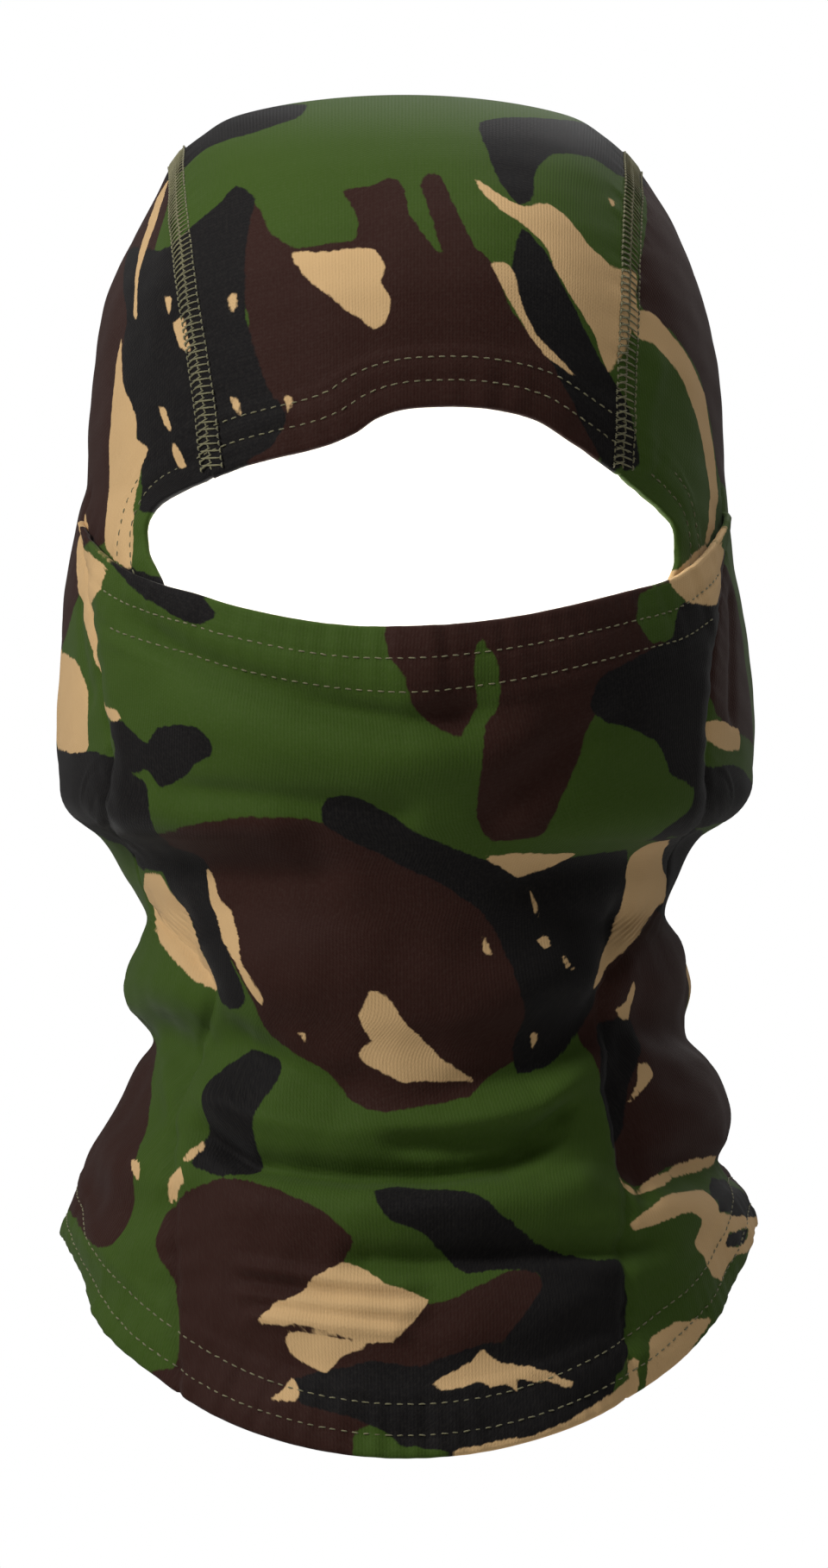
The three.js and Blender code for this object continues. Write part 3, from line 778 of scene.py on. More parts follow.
def rounded(outline):
    """A closed outline through its points, with its corners eased a little."""
    before, after, later = (np.roll(outline, k, 0) for k in (1, -1, -2))
    found = []
    for t in (0, 0.25, 0.5, 0.75):
        curved = (
            outline
            + 0.5 * t * (after - before)
            + 0.5 * t**2 * (2 * before - 5 * outline + 4 * after - later)
            + 0.5 * t**3 * (3 * outline - before - 3 * after + later)
        )
        found.append((curved + outline + t * (after - outline)) / 2)
    return np.stack(found, 1).reshape(-1, 2)


def signed_distance(p, q, outline):
    """Distance from an outline, minus inside it."""
    gap, _ = line_distance(p, q, outline, closed=True)
    inside = np.zeros(p.shape, bool)
    for a, b in zip(outline, np.roll(outline, -1, 0)):
        crosses = (a[1] > q) != (b[1] > q)
        if a[1] != b[1]:
            inside ^= crosses & (p < a[0] + (q - a[1]) * (b[0] - a[0]) / (b[1] - a[1]))
    return np.where(inside, -gap, gap)


def paint(fields, p, q, patches):
    """Paints patches over the fields, each the distance outside that colour at (p, q)."""
    for colour, outline in patches:
        low, high = outline.min(0) - PAINT_REACH, outline.max(0) + PAINT_REACH
        near = (p > low[0]) & (p < high[0]) & (q > low[1]) & (q < high[1])
        if not near.any():
            continue
        gap = np.clip(signed_distance(p[near], q[near], outline), -PAINT_REACH, PAINT_REACH)
        if colour in PRINTED:
            fields[colour][near] = np.minimum(fields[colour][near], gap)
        covered = {"green": PRINTED, "black": ("tan",)}.get(colour, ())
        for other in covered:
            fields[other][near] = np.maximum(fields[other][near], -gap)


def climb(x, depth, behind):
    """Length over the cloth at x from the ridge of the crown down to a depth."""
    t = np.linspace(0, 1, 50)[:, None]
    top = ridge_depth(x)
    depths = top + np.maximum(depth - top, 0) * t**2
    y = reach_at(np.broadcast_to(x, depths.shape), depths, behind)
    steps = np.hypot(np.diff(y, axis=0), np.diff(depths, axis=0))
    return steps.sum(0) - 3 * np.maximum(top - depth, 0)


TURNED_FROM = 345  # the print behind is the same patches turned upside down about this depth


def printed(panel, crown):
    """How far each point of a panel is outside each printed colour, in millimetres."""
    depth, shape = panel.depth.ravel(), panel.depth.shape
    fields = {colour: np.full(depth.shape, PAINT_REACH) for colour in PRINTED}
    x = panel.base[..., 0].ravel()
    around = girth(panel.turn.ravel(), depth)
    behind = girth_behind(around, depth)
    at_back = np.sin(panel.turn.ravel()) < 0
    if crown:
        along = np.where(at_back, -climb(x, depth, True), climb(x, depth, False))
        places = [(x, along), (x, along)]
        seen = lambda line: np.stack([line[:, 0], climb(line[:, 0], line[:, 1], False)], -1)
        seen_behind = lambda line: np.stack([line[:, 0], -climb(line[:, 0], line[:, 1], True)], -1)
        edge = [(-90, -6), (-55, -13), (-30, -5), (-5, -15), (22, -7), (50, -14), (90, -6)]
        ground = np.array(edge + [(90, 220), (-90, 220)], float)
    else:
        places = [(behind, depth), (around, depth)]
        seen = lambda line: np.stack([seen_girth(line[:, 0], line[:, 1]), line[:, 1]], -1)
        seen_behind = lambda line: np.stack([seen_girth(line[:, 0], line[:, 1], True), line[:, 1]], -1)
        down = np.linspace(4, 383, 30)
        sides = [
            np.stack([side * (half_width(side, down) + 6 + 4 * np.sin(down / 13 + side)), down], -1)
            for side in (1, -1)
        ]
        ground = seen(np.concatenate([sides[0], sides[1][::-1]]))
    for colour, outline in PATCHES:
        turned = outline * (-1, -1) + (0, TURNED_FROM)
        paint(fields, *places[0], [(colour, rounded(seen_behind(turned)))])
    paint(fields, *places[1], [("green", ground)])
    for colour, outline in PATCHES:
        paint(fields, *places[1], [(colour, rounded(seen(outline)))])
    return {colour: field.reshape(shape) for colour, field in fields.items()}


# ---------------------------------------------------------------- meshes


def closed_cloth(name, panel, thickness, fields, materials, folded):
    """A closed sheet: the worn surface, its reverse, and a rounded rim. folded marks reverse
    that is a hem's turning, which shows the print."""
    rows, columns = panel.outer.shape[:2]
    outer = panel.outer.reshape(-1, 3)
    out = panel.out.reshape(-1, 3)
    thick = thickness.reshape(-1, 1)
    inner = outer - out * thick
    index = np.arange(rows * columns).reshape(rows, columns)
    quads = np.stack([index[:-1, :-1], index[1:, :-1], index[1:, 1:], index[:-1, 1:]], -1).reshape(-1, 4)
    a, b, c = (outer[quads[:, k]] for k in (0, 1, 2))
    if (np.cross(b - a, c - a) * out[quads[:, 0]]).sum() < 0:
        quads = quads[:, ::-1]
    loop = np.concatenate([index[0, :-1], index[:-1, -1], index[-1, :0:-1], index[:0:-1, 0]])
    inward = np.concatenate([index[2, :-1], index[:-1, -3], index[-3, :0:-1], index[:0:-1, 2]])
    away = outer[loop] - outer[inward]
    away -= (away * out[loop]).sum(1, keepdims=True) * out[loop]
    away /= np.maximum(np.linalg.norm(away, axis=1, keepdims=True), 1e-6)
    total = rows * columns
    rims = []
    for angle in np.radians((45, 90, 135)):
        half = thick[loop] / 2
        turned = out[loop] * math.cos(angle) + away * math.sin(angle)
        rims.append(outer[loop] + half * (turned - out[loop]))
    chain = [loop] + [2 * total + k * len(loop) + np.arange(len(loop)) for k in range(3)] + [loop + total]
    faces = [quads, quads[:, ::-1] + total]
    points = np.concatenate([outer, inner] + rims)
    side_faces = []
    for first, second in zip(chain, chain[1:]):
        side_faces.append(np.stack([first, np.roll(first, -1), np.roll(second, -1), second], -1))
    side_faces = np.concatenate(side_faces)
    a, b, c = (points[side_faces[:, k]] for k in (0, 1, 2))
    ways = np.concatenate([away] * 4)
    if (np.cross(b - a, c - a) * ways).sum() < 0:
        side_faces = side_faces[:, ::-1]
    faces = np.concatenate(faces + [side_faces])
    mesh = bpy.data.meshes.new(name)
    mesh.from_pydata((points * MM).tolist(), [], faces.tolist())
    mesh.validate()
    source = np.concatenate([np.arange(total), np.arange(total)] + [loop] * 3)
    for colour, field in fields.items():
        attribute = mesh.attributes.new(f"print_{colour}", "FLOAT", "POINT")
        attribute.data.foreach_set("value", field.reshape(-1)[source].astype(np.float32))
    for material in materials:
        mesh.materials.append(material)
    shows_print = folded.reshape(-1)
    indices = np.zeros(len(faces), np.int32)
    indices[len(quads) : 2 * len(quads)] = np.where(shows_print[quads].all(1), 0, 1)
    mesh.polygons.foreach_set("material_index", indices)
    across, down = (
        np.insert(np.cumsum(np.linalg.norm(np.diff(panel.base, axis=axis), axis=2), axis), 0, 0, axis)
        for axis in (1, 0)
    )
    across -= across[:, columns // 2 : columns // 2 + 1]
    flat = np.stack([across, down], -1).reshape(-1, 2)[source]
    corners = np.zeros(len(mesh.loops), np.int32)
    mesh.loops.foreach_get("vertex_index", corners)
    mesh.uv_layers.new(name="knit").data.foreach_set("uv", (flat[corners]).astype(np.float32).ravel())
    mesh.polygons.foreach_set("use_smooth", np.ones(len(faces), bool))
    mesh.update()
    piece = bpy.data.objects.new(name, mesh)
    bpy.context.scene.collection.objects.link(piece)
    corner, along, opposite = (outer[quads[:, k]] for k in (0, 1, 2))
    area = np.linalg.norm(np.cross(along - corner, opposite - corner), axis=1).sum()
    print(f"{name}: {len(faces)} faces, {area * 1e-6:.4f} m2")
    return piece


def one_stitch(length, thickness):
    """One stitch lying along x, its two ends going down into the cloth: points and faces."""
    bpy.ops.object.select_all(action="DESELECT")
    bpy.ops.mesh.primitive_uv_sphere_add(segments=5, ring_count=6, radius=0.5)
    made = bpy.context.object
    bpy.ops.object.mode_set(mode="EDIT")
    bpy.ops.mesh.select_all(action="SELECT")
    bpy.ops.transform.resize(value=(thickness, thickness, length))
    bpy.ops.object.mode_set(mode="OBJECT")
    points = np.array([v.co for v in made.data.vertices])[:, [2, 0, 1]]
    faces = [tuple(f.vertices) for f in made.data.polygons]
    mesh = made.data
    bpy.data.objects.remove(made)
    bpy.data.meshes.remove(mesh)
    points[:, 1:] *= 1.0 + 0.35 * (np.abs(points[:, :1]) / length)
    points[:, 2] -= 0.9 * thickness * (2 * points[:, 0] / length) ** 4
    return points, faces


def sewn(name, places, material, thickness):
    """One mesh of stitches. Each place is (start, end, direction out of the cloth)."""
    points, faces = [], []
    shapes = {}
    for start, end, out in places:
        way = end - start
        length = float(np.linalg.norm(way))
        key = round(length * 4) / 4
        if key < 0.3:
            continue
        if key not in shapes:
            shapes[key] = one_stitch(key, thickness)
        shape, shape_faces = shapes[key]
        along = way / length
        up = out - (out @ along) * along
        up = up / np.linalg.norm(up)
        frame3 = np.stack([along, np.cross(up, along), up])
        base = len(points) * len(shape)
        points.append((start + end) / 2 + shape @ frame3)
        faces.extend(tuple(base + k for k in face) for face in shape_faces)
    mesh = bpy.data.meshes.new(name)
    mesh.from_pydata((np.concatenate(points) * MM).tolist(), [], faces)
    mesh.polygons.foreach_set("use_smooth", np.ones(len(faces), bool))
    mesh.materials.append(material)
    mesh.update()
    piece = bpy.data.objects.new(name, mesh)
    bpy.context.scene.collection.objects.link(piece)
    return piece


def walked(row, pitch):
    """A row of (point, out) taken again every pitch: points and directions."""
    points, ways = (np.array(part) for part in zip(*row))
    length = np.concatenate([[0], np.cumsum(np.linalg.norm(np.diff(points, axis=0), axis=1))])
    places = np.arange(0, length[-1], pitch)
    again = [np.stack([np.interp(places, length, c) for c in part.T], -1) for part in (points, ways)]
    return again[0], again[1] / np.linalg.norm(again[1], axis=1, keepdims=True)


def running(row, pitch, gap, rise):
    """Straight stitches end to end along a row."""
    points, ways = walked(row, pitch)
    rng = np.random.default_rng(len(points))
    places = []
    for a, b, out in zip(points, points[1:], ways):
        lean = rng.normal(size=3) * 0.07
        trim = (b - a) * gap / pitch / 2
        places.append((a + trim + out * rise + lean, b - trim + out * rise - lean, out))
    return places


def zigzag(near_row, far_row, pitch, drop):
    """Looper thread crossing between two rows behind the cloth."""
    (a, out_a), (b, _) = walked(near_row, pitch), walked(far_row, pitch)
    count = min(len(a), len(b))
    b = b[np.linspace(0, len(b) - 1, count).astype(int)]
    a = a[np.linspace(0, len(a) - 1, count).astype(int)]
    ways = out_a[np.linspace(0, len(out_a) - 1, count).astype(int)]
    places = []
    for k in range(count - 1):
        places.append((a[k] - ways[k] * drop, b[k] - ways[k] * drop, -ways[k]))
        places.append((b[k] - ways[k] * drop, a[k + 1] - ways[k] * drop, -ways[k]))
    return places


# ---------------------------------------------------------------- what a user may change


def hex_linear(code):
    """Linear colour of an sRGB hex value."""
    channels = [int(code[k : k + 2], 16) / 255 for k in (1, 3, 5)]
    return tuple(c / 12.92 if c <= 0.04045 else ((c + 0.055) / 1.055) ** 2.4 for c in channels)


def colour_property(name, description, code):
    return FloatVectorProperty(
        name=name, description=description, default=hex_linear(code), subtype="COLOR", min=0, max=1
    )


def length_property(name, description, millimetres):
    return FloatProperty(
        name=name, description=description, default=millimetres * MM, unit="LENGTH", min=0
    )


class HoodClothSettings(bpy.types.PropertyGroup):
    cloth: length_property("Cloth", "Thickness of one layer of the knitted cloth", 0.9)
    turned: length_property("Turned hem", "Thickness of the cloth where a hem is turned under", 1.9)
    brow_hem: length_property("Brow hem", "Width of the turned hem round the face opening", 14)
    mask_hem: length_property("Mask hem", "Width of the turned hem along the mask's upper edge", 19)
    neck_hem: length_property("Neck hem", "Width of the turned hem round the bottom", 17)
    mask_lift: length_property("Mask lift", "How far the mask stands off the hood beneath it", 3.0)


class HoodThreadSettings(bpy.types.PropertyGroup):
    thread: length_property("Thread", "Thickness of the sewing thread", 0.5)
    stitch: length_property("Stitch", "Length of one stitch of a hem row", 2.9)
    gap: length_property("Gap", "Gap between two stitches of a row, where the thread dips", 0.9)
    ladder: length_property("Ladder", "Width of the flat seam's ladder of thread", 6.8)
    rungs: length_property("Rungs", "Spacing of the ladder's rungs", 1.9)


class HoodColourSettings(bpy.types.PropertyGroup):
    green: colour_property("Green", "Ground colour of the print", "#354a14")
    brown: colour_property("Brown", "Brown of the print", "#2c150f")
    black: colour_property("Black", "Black of the print", "#0e0c0d")
    tan: colour_property("Tan", "Light tan of the print", "#c3a173")
    reverse: colour_property("Reverse", "Unprinted side of the cloth", "#e9e6e0")
    thread: colour_property("Thread", "Olive sewing thread", "#6d694a")
    floor: colour_property("Floor", "Floor under the hood", "#f2f1ee")


# ---------------------------------------------------------------- finishes


def node(tree, kind, inputs=(), **settings):
    """Adds a node. An input is a value, or a socket that it is linked from."""
    made = tree.nodes.new(kind)
    for key, value in settings.items():
        setattr(made, key, value)
    for key, value in dict(inputs).items():
        if isinstance(value, bpy.types.NodeSocket):
            tree.links.new(value, made.inputs[key])
        else:
            made.inputs[key].default_value = value
    return made


def new_finish(name):
    if name in bpy.data.materials:
        return bpy.data.materials[name], None, None
    material = bpy.data.materials.new(name)
    material.use_nodes = True
    tree = material.node_tree
    return material, tree, tree.nodes["Principled BSDF"]


WALE_WIDTH = 0.9  # real wales are about 0.45 mm, too fine to show, so they are drawn twice as wide
COURSE_HEIGHT = 1.0


def maths(tree, operation, *values):
    return node(tree, "ShaderNodeMath", dict(enumerate(values)), operation=operation).outputs[0]


def knit_normal(tree, strength):
    """Bump of columns of knitted V stitches, from the cloth's own millimetre map."""
    place = node(tree, "ShaderNodeUVMap", uv_map="knit").outputs[0]
    split = node(tree, "ShaderNodeSeparateXYZ", {0: place})
    wale = maths(tree, "PINGPONG", split.outputs[0], WALE_WIDTH / 2)
    slanted = maths(tree, "MULTIPLY_ADD", wale, 1.1, split.outputs[1])
    course = maths(tree, "SINE", maths(tree, "MULTIPLY", slanted, 2 * math.pi / COURSE_HEIGHT))
    height = maths(tree, "MULTIPLY_ADD", course, 0.12, wale)
    fuzz = node(tree, "ShaderNodeTexNoise", {"Vector": place, "Scale": 1.6, "Detail": 2.0}).outputs[0]
    height = maths(tree, "MULTIPLY_ADD", fuzz, 0.5, height)
    return node(tree, "ShaderNodeBump", {"Strength": strength, "Distance": 0.0003, "Height": height})


def printed_jersey():
    """Polyester and elastane single jersey with a transfer print: matt and soft, slightly paler
    and sheeny at grazing angles, edges of the print ragged by the knit."""
    colours = bpy.context.scene.hood_colours
    material, tree, shader = new_finish("printed polyester jersey")
    if tree is None:
        return material
    place = node(tree, "ShaderNodeUVMap", uv_map="knit").outputs[0]
    ragged = node(
        tree, "ShaderNodeTexNoise", {"Vector": place, "Scale": 0.42, "Detail": 3.0, "Roughness": 0.62}
    )
    wander = node(tree, "ShaderNodeTexNoise", {"Vector": place, "Scale": 0.09, "Detail": 1.0})
    offset = maths(tree, "MULTIPLY_ADD", ragged.outputs[0], 1.5, -0.75)
    offset = maths(tree, "MULTIPLY_ADD", wander.outputs[0], 1.6, maths(tree, "ADD", offset, -0.8))
    colour = None
    ground = (*colours.green, 1)
    for key in PRINTED:
        field = node(tree, "ShaderNodeAttribute", attribute_name=f"print_{key}").outputs["Fac"]
        outside = maths(tree, "ADD", field, offset)
        cover = node(
            tree, "ShaderNodeMapRange", {0: outside, 1: -0.28, 2: 0.28, 3: 1.0, 4: 0.0},
            interpolation_type="SMOOTHSTEP",
        ).outputs[0]
        below = ground if colour is None else colour
        colour = node(
            tree, "ShaderNodeMix", {0: cover, 6: below, 7: (*getattr(colours, key), 1)}, data_type="RGBA"
        ).outputs[2]
    # The printed colour is uneven: the white yarn grins through a little between the stitches.
    heather = node(
        tree, "ShaderNodeTexNoise", {"Vector": place, "Scale": 0.9, "Detail": 4.0, "Roughness": 0.7}
    )
    cloudy = node(tree, "ShaderNodeTexNoise", {"Vector": place, "Scale": 0.035, "Detail": 2.0})
    grin = node(
        tree, "ShaderNodeMapRange", {0: heather.outputs[0], 1: 0.45, 2: 0.8, 3: 0.0, 4: 0.022}
    ).outputs[0]
    grin = maths(tree, "MULTIPLY_ADD", cloudy.outputs[0], 0.004, grin)
    colour = node(
        tree, "ShaderNodeMix", {0: grin, 6: colour, 7: (*hex_linear("#b3ab9b"), 1)}, data_type="RGBA"
    ).outputs[2]
    tree.links.new(colour, shader.inputs["Base Color"])
    tree.links.new(knit_normal(tree, 0.35).outputs[0], shader.inputs["Normal"])
    shader.inputs["Roughness"].default_value = 0.72
    shader.inputs["Specular IOR Level"].default_value = 0.1
    shader.inputs["Sheen Weight"].default_value = 0.05
    shader.inputs["Sheen Roughness"].default_value = 0.45
    return material


def jersey_reverse():
    """The reverse of the same jersey: unprinted off-white loops, with a faint stain of the print."""
    colours = bpy.context.scene.hood_colours
    material, tree, shader = new_finish("unprinted jersey reverse")
    if tree is None:
        return material
    place = node(tree, "ShaderNodeUVMap", uv_map="knit").outputs[0]
    stain = node(tree, "ShaderNodeAttribute", attribute_name="print_black").outputs["Fac"]
    stain = node(tree, "ShaderNodeMapRange", {0: stain, 1: -1.5, 2: 1.5, 3: 0.05, 4: 0.0}).outputs[0]
    lint = node(tree, "ShaderNodeTexNoise", {"Vector": place, "Scale": 0.7, "Detail": 3.0}).outputs[0]
    stain = maths(tree, "MULTIPLY_ADD", lint, 0.03, stain)
    colour = node(
        tree, "ShaderNodeMix", {0: stain, 6: (*colours.reverse, 1), 7: (*colours.black, 1)}, data_type="RGBA"
    ).outputs[2]
    tree.links.new(colour, shader.inputs["Base Color"])
    tree.links.new(knit_normal(tree, 0.3).outputs[0], shader.inputs["Normal"])
    shader.inputs["Roughness"].default_value = 0.9
    shader.inputs["Specular IOR Level"].default_value = 0.2
    return material


THREAD_TWIST = 0.6  # pitch of the plies is about 0.4 mm, drawn a little coarser so that it shows


def sewing_thread():
    """Spun polyester sewing thread: two twisted plies, matt, with a little fuzz."""
    colours = bpy.context.scene.hood_colours
    material, tree, shader = new_finish("spun polyester thread")
    if tree is None:
        return material
    place = node(tree, "ShaderNodeTexCoord").outputs["Object"]
    scaled = node(tree, "ShaderNodeVectorMath", {0: place, "Scale": 1 / MM}, operation="SCALE").outputs[0]
    twist = node(
        tree, "ShaderNodeTexWave", {"Vector": scaled, "Scale": 0.31 / THREAD_TWIST, "Distortion": 1.0},
        bands_direction="DIAGONAL",
    ).outputs["Fac"]
    shade = node(tree, "ShaderNodeTexNoise", {"Vector": scaled, "Scale": 0.12, "Detail": 2.0}).outputs[0]
    light = tuple(min(1.0, c * 1.35) for c in colours.thread)
    dark = tuple(c * 0.6 for c in colours.thread)
    colour = node(
        tree, "ShaderNodeMix", {0: shade, 6: (*dark, 1), 7: (*light, 1)}, data_type="RGBA"
    ).outputs[2]
    tree.links.new(colour, shader.inputs["Base Color"])
    bump = node(tree, "ShaderNodeBump", {"Strength": 0.4, "Distance": 0.0001, "Height": twist})
    tree.links.new(bump.outputs[0], shader.inputs["Normal"])
    shader.inputs["Roughness"].default_value = 0.8
    shader.inputs["Sheen Weight"].default_value = 0.2
    return material


# ---------------------------------------------------------------- the hood's own pieces

PANELS = {}


def mm(length):
    return length / MM


def hem_line(width, rows, seed):
    return lambda gap, place: hem_relief(gap, place, width, rows, seed)


BROW_ROWS, MASK_ROWS, NECK_ROWS = (6, 12), (7, 14.5), (5, 13)


def panel(key):
    """The panel of that name, made the first time it is asked for."""
    if key in PANELS:
        return PANELS[key]
    cloth = bpy.context.scene.hood_cloth
    brow = hem_line(mm(cloth.brow_hem), BROW_ROWS, 21)
    mask = hem_line(mm(cloth.mask_hem), MASK_ROWS, 22)
    neck = hem_line(mm(cloth.neck_hem), NECK_ROWS, 23)
    seam, flat = (
        {side: (lambda gap, place, r=relief, s=seed: r(gap, place, s)) for side, seed in seeds.items()}
        for relief, seeds in (
            (seam_relief, {"left": 31, "right": 32}), (flat_seam_relief, {"left": 41, "right": 42}),
        )
    )
    if key == "crown":
        lines = {"crown_left": flat["left"], "crown_right": flat["right"], "opening": brow, "hem": neck}
        made = Panel(crown_grid(), lines)
    elif key == "face":
        base = face_grid()
        lines = {"side_left": seam["left"], "side_right": seam["right"], "mask": mask, "hem": neck}
        depth = TOP - base[..., 2]
        gap = np.minimum(*(LINES[name].near(base)[0] for name in ("side_left", "side_right")))
        lift = 1.3 + (mm(cloth.mask_lift) - 1.3) * smooth(gap, 0, 9)
        made = Panel(base, lines, lift * smooth(depth, 203, 180))
    else:
        lines = {"crown_" + key: flat[key], "side_" + key: seam[key], "opening": brow, "hem": neck}
        made = Panel(side_grid(1 if key == "left" else -1), lines)
    PANELS[key] = made
    return made


def cloth_piece(name, key, hems, node_names):
    """One panel's cloth, with its hems' thickness, its print and the CAD solids it stands for."""
    cloth = bpy.context.scene.hood_cloth
    made = panel(key)
    thickness = np.full(made.depth.shape, mm(cloth.cloth))
    folded = np.zeros(made.depth.shape, bool)
    for line, width in hems:
        turned = smooth(made.gaps[line], width + 0.5, width - 0.5)
        thickness = thickness + (mm(cloth.turned) - mm(cloth.cloth)) * turned
        folded |= made.gaps[line] < width
    fields = printed(made, key == "crown")
    piece = closed_cloth(name, made, thickness, fields, [printed_jersey(), jersey_reverse()], folded)
    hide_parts(*node_names)
    return piece


class HOOD_OT_crown(bpy.types.Operator):
    """Make the long crown panel, from the brow hem over the top to the nape hem"""

    bl_idname = "hood.crown"
    bl_label = "Crown panel"

    def execute(self, context):
        cloth = context.scene.hood_cloth
        hems = [("opening", mm(cloth.brow_hem)), ("hem", mm(cloth.neck_hem))]
        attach(cloth_piece("crown_cloth", "crown", hems, ["crown_panel"]), HOOD_BODY)
        return {"FINISHED"}


class HOOD_OT_sides(bpy.types.Operator):
    """Make the two side panels, which run round the ears to the nape and under the mask"""

    bl_idname = "hood.sides"
    bl_label = "Side panels"

    def execute(self, context):
        cloth = context.scene.hood_cloth
        hems = [("opening", mm(cloth.brow_hem)), ("hem", mm(cloth.neck_hem))]
        for key in ("left", "right"):
            piece = cloth_piece(f"side_cloth_{key}", key, hems, [f"side_panel_{key}"])
            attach(piece, HOOD_BODY)
        return {"FINISHED"}


class HOOD_OT_face(bpy.types.Operator):
    """Make the face cloth: the mask, the chin and the round bib, with the mask's turned hem"""

    bl_idname = "hood.face"
    bl_label = "Face cloth"

    def execute(self, context):
        cloth = context.scene.hood_cloth
        hems = [("mask", mm(cloth.mask_hem)), ("hem", mm(cloth.neck_hem))]
        piece = cloth_piece("face_cloth", "face", hems, ["face_panel", "mask_top_hem"])
        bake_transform(piece)
        return {"FINISHED"}


def finished_thread(name, places, thickness, node_name, body):
    """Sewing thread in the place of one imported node, riding that node's body."""
    piece = sewn(name, places, sewing_thread(), thickness)
    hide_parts(node_name)
    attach(piece, body)


class HOOD_OT_ladders(bpy.types.Operator):
    """Sew the flat ladder of thread along both crown seams"""

    bl_idname = "hood.ladders"
    bl_label = "Crown seam ladders"

    def execute(self, context):
        threads = context.scene.hood_threads
        made = panel("crown")
        half, pitch = mm(threads.ladder) / 2, mm(threads.rungs)
        for key, column in (("left", -1), ("right", 0)):
            seam = list(zip(made.outer[:, column], made.out[:, column]))
            points, ways = walked(seam, pitch)
            places = []
            for k in range(1, len(points) - 1):
                along = points[k + 1] - points[k - 1]
                along /= np.linalg.norm(along)
                over = np.cross(ways[k], along)
                low = ways[k] * 0.12
                near_edge, far_edge = points[k] - over * half + low, points[k] + over * half + low
                slant, rail, spine = along * pitch * 0.55, along * pitch * 0.42, along * pitch * 0.4
                threads_here = (
                    (near_edge, far_edge + slant),
                    (far_edge + over * 0.4, points[k] + low - over * 0.6 + slant * 1.4),
                    (near_edge - rail, near_edge + rail),
                    (far_edge - rail, far_edge + rail),
                    (points[k] - spine, points[k] + spine + over * 0.5),
                )
                places.extend((start, end, ways[k]) for start, end in threads_here)
            finished_thread(
                f"crown_ladder_{key}", places, mm(threads.thread), f"crown_seam_thread_{key}", HOOD_BODY
            )
        return {"FINISHED"}


ROWS_END = 158  # depth under the mask where the rows round the face opening stop
ROW_RISE = 0.08  # how far a stitch's thread stands off the cloth, in millimetres
MASK_ROW_TRIM = 9  # points left off each end of a mask row, so that it clears the side seam


def opening_row(distance):
    """A row round the face opening: up the right side, across the brow, down the left side."""
    right, left = (
        [place for place in panel(key).row("opening", distance, True) if TOP - place[0][2] < ROWS_END]
        for key in ("right", "left")
    )
    return right[::-1] + panel("crown").row("opening", distance, False) + left


def mask_row(distance):
    """A row along the mask's edge."""
    return panel("face").row("mask", distance, False)[MASK_ROW_TRIM:-MASK_ROW_TRIM]


def hem_row(distance):
    """A row round the bottom hem, from the right side seam over the bib and round the back."""
    face = panel("face").row("hem", distance, False)
    left = panel("left").row("hem", distance, False)
    back = panel("crown").row("hem", distance, False)[::-1]
    right = panel("right").row("hem", distance, False)[::-1]
    return face + left + back + right


class HOOD_OT_hem_rows(bpy.types.Operator):
    """Sew two rows of stitches and a looper thread behind them along each hem"""

    bl_idname = "hood.hem_rows"
    bl_label = "Hem stitching"

    def execute(self, context):
        threads, cloth = context.scene.hood_threads, context.scene.hood_cloth
        pitch, gap, thread = mm(threads.stitch), mm(threads.gap), mm(threads.thread)
        hems = [
            ("brow_hem", opening_row, BROW_ROWS, ("lower", "upper"), HOOD_BODY),
            ("mask_hem", mask_row, MASK_ROWS, ("upper", "lower"), MASK_BODY),
            ("neck_hem", hem_row, NECK_ROWS, ("lower", "upper"), HOOD_BODY),
        ]
        for hem, row_at, distances, words, body in hems:
            rows = [row_at(distance) for distance in distances]
            for row, word in zip(rows, words):
                if len(row) < 20:
                    raise RuntimeError(f"{hem}: the {word} row has only {len(row)} points")
                places = running(row, pitch, gap, ROW_RISE)
                finished_thread(f"{hem}_row_{word}", places, thread * 0.85, f"{hem}_thread_{word}", body)
            places = zigzag(*rows, pitch, mm(cloth.turned) + 0.1)
            finished_thread(f"{hem}_loops", places, thread * 0.8, f"{hem}_looper", body)
        return {"FINISHED"}


class HOOD_OT_overlock(bpy.types.Operator):
    """Sew the overlocked edges behind both side seams"""

    bl_idname = "hood.overlock"
    bl_label = "Side seam overlock"

    def execute(self, context):
        threads = context.scene.hood_threads
        for key, column in (("left", -1), ("right", 0)):
            made = panel("face")
            start = int(np.argmax(made.depth[:, column] > FLAP_END + 4))
            seam = list(zip(made.outer[start:, column], made.out[start:, column]))[:-12]
            points, ways = walked(seam, mm(threads.stitch))
            places = []
            for k in range(1, len(points) - 1):
                along = points[k + 1] - points[k - 1]
                along /= np.linalg.norm(along)
                over = np.cross(ways[k], along)
                behind = points[k] - ways[k] * 1.3
                near_edge, far_edge, reach = behind - over * 2.2, behind + over * 2.2, along * 1.3
                places.append((near_edge, far_edge + along, -ways[k]))
                places.append((near_edge - reach, near_edge + reach, -ways[k]))
            finished_thread(
                f"side_seam_overlock_{key}", places, mm(threads.thread), f"side_seam_thread_{key}", HOOD_BODY
            )
        return {"FINISHED"}


class HOOD_OT_sheets(bpy.types.Operator):
    """Does nothing: no cut sizes or sewing are given here"""

    bl_idname = "hood.sheets"
    bl_label = "Cut sizes"

    def execute(self, context):
        return {"FINISHED"}


# ---------------------------------------------------------------- floor, light and camera


def area_light(name, place, aim, size, power):
    """A soft square light at place, in metres, turned to face aim."""
    data = bpy.data.lights.new(name, "AREA")
    data.size, data.energy = size, power
    lamp = bpy.data.objects.new(name, data)
    bpy.context.scene.collection.objects.link(lamp)
    lamp.location = place
    lamp.rotation_euler = (Vector(aim) - Vector(place)).to_track_quat("-Z", "Y").to_euler()
    lamp.visible_camera = False
    return lamp


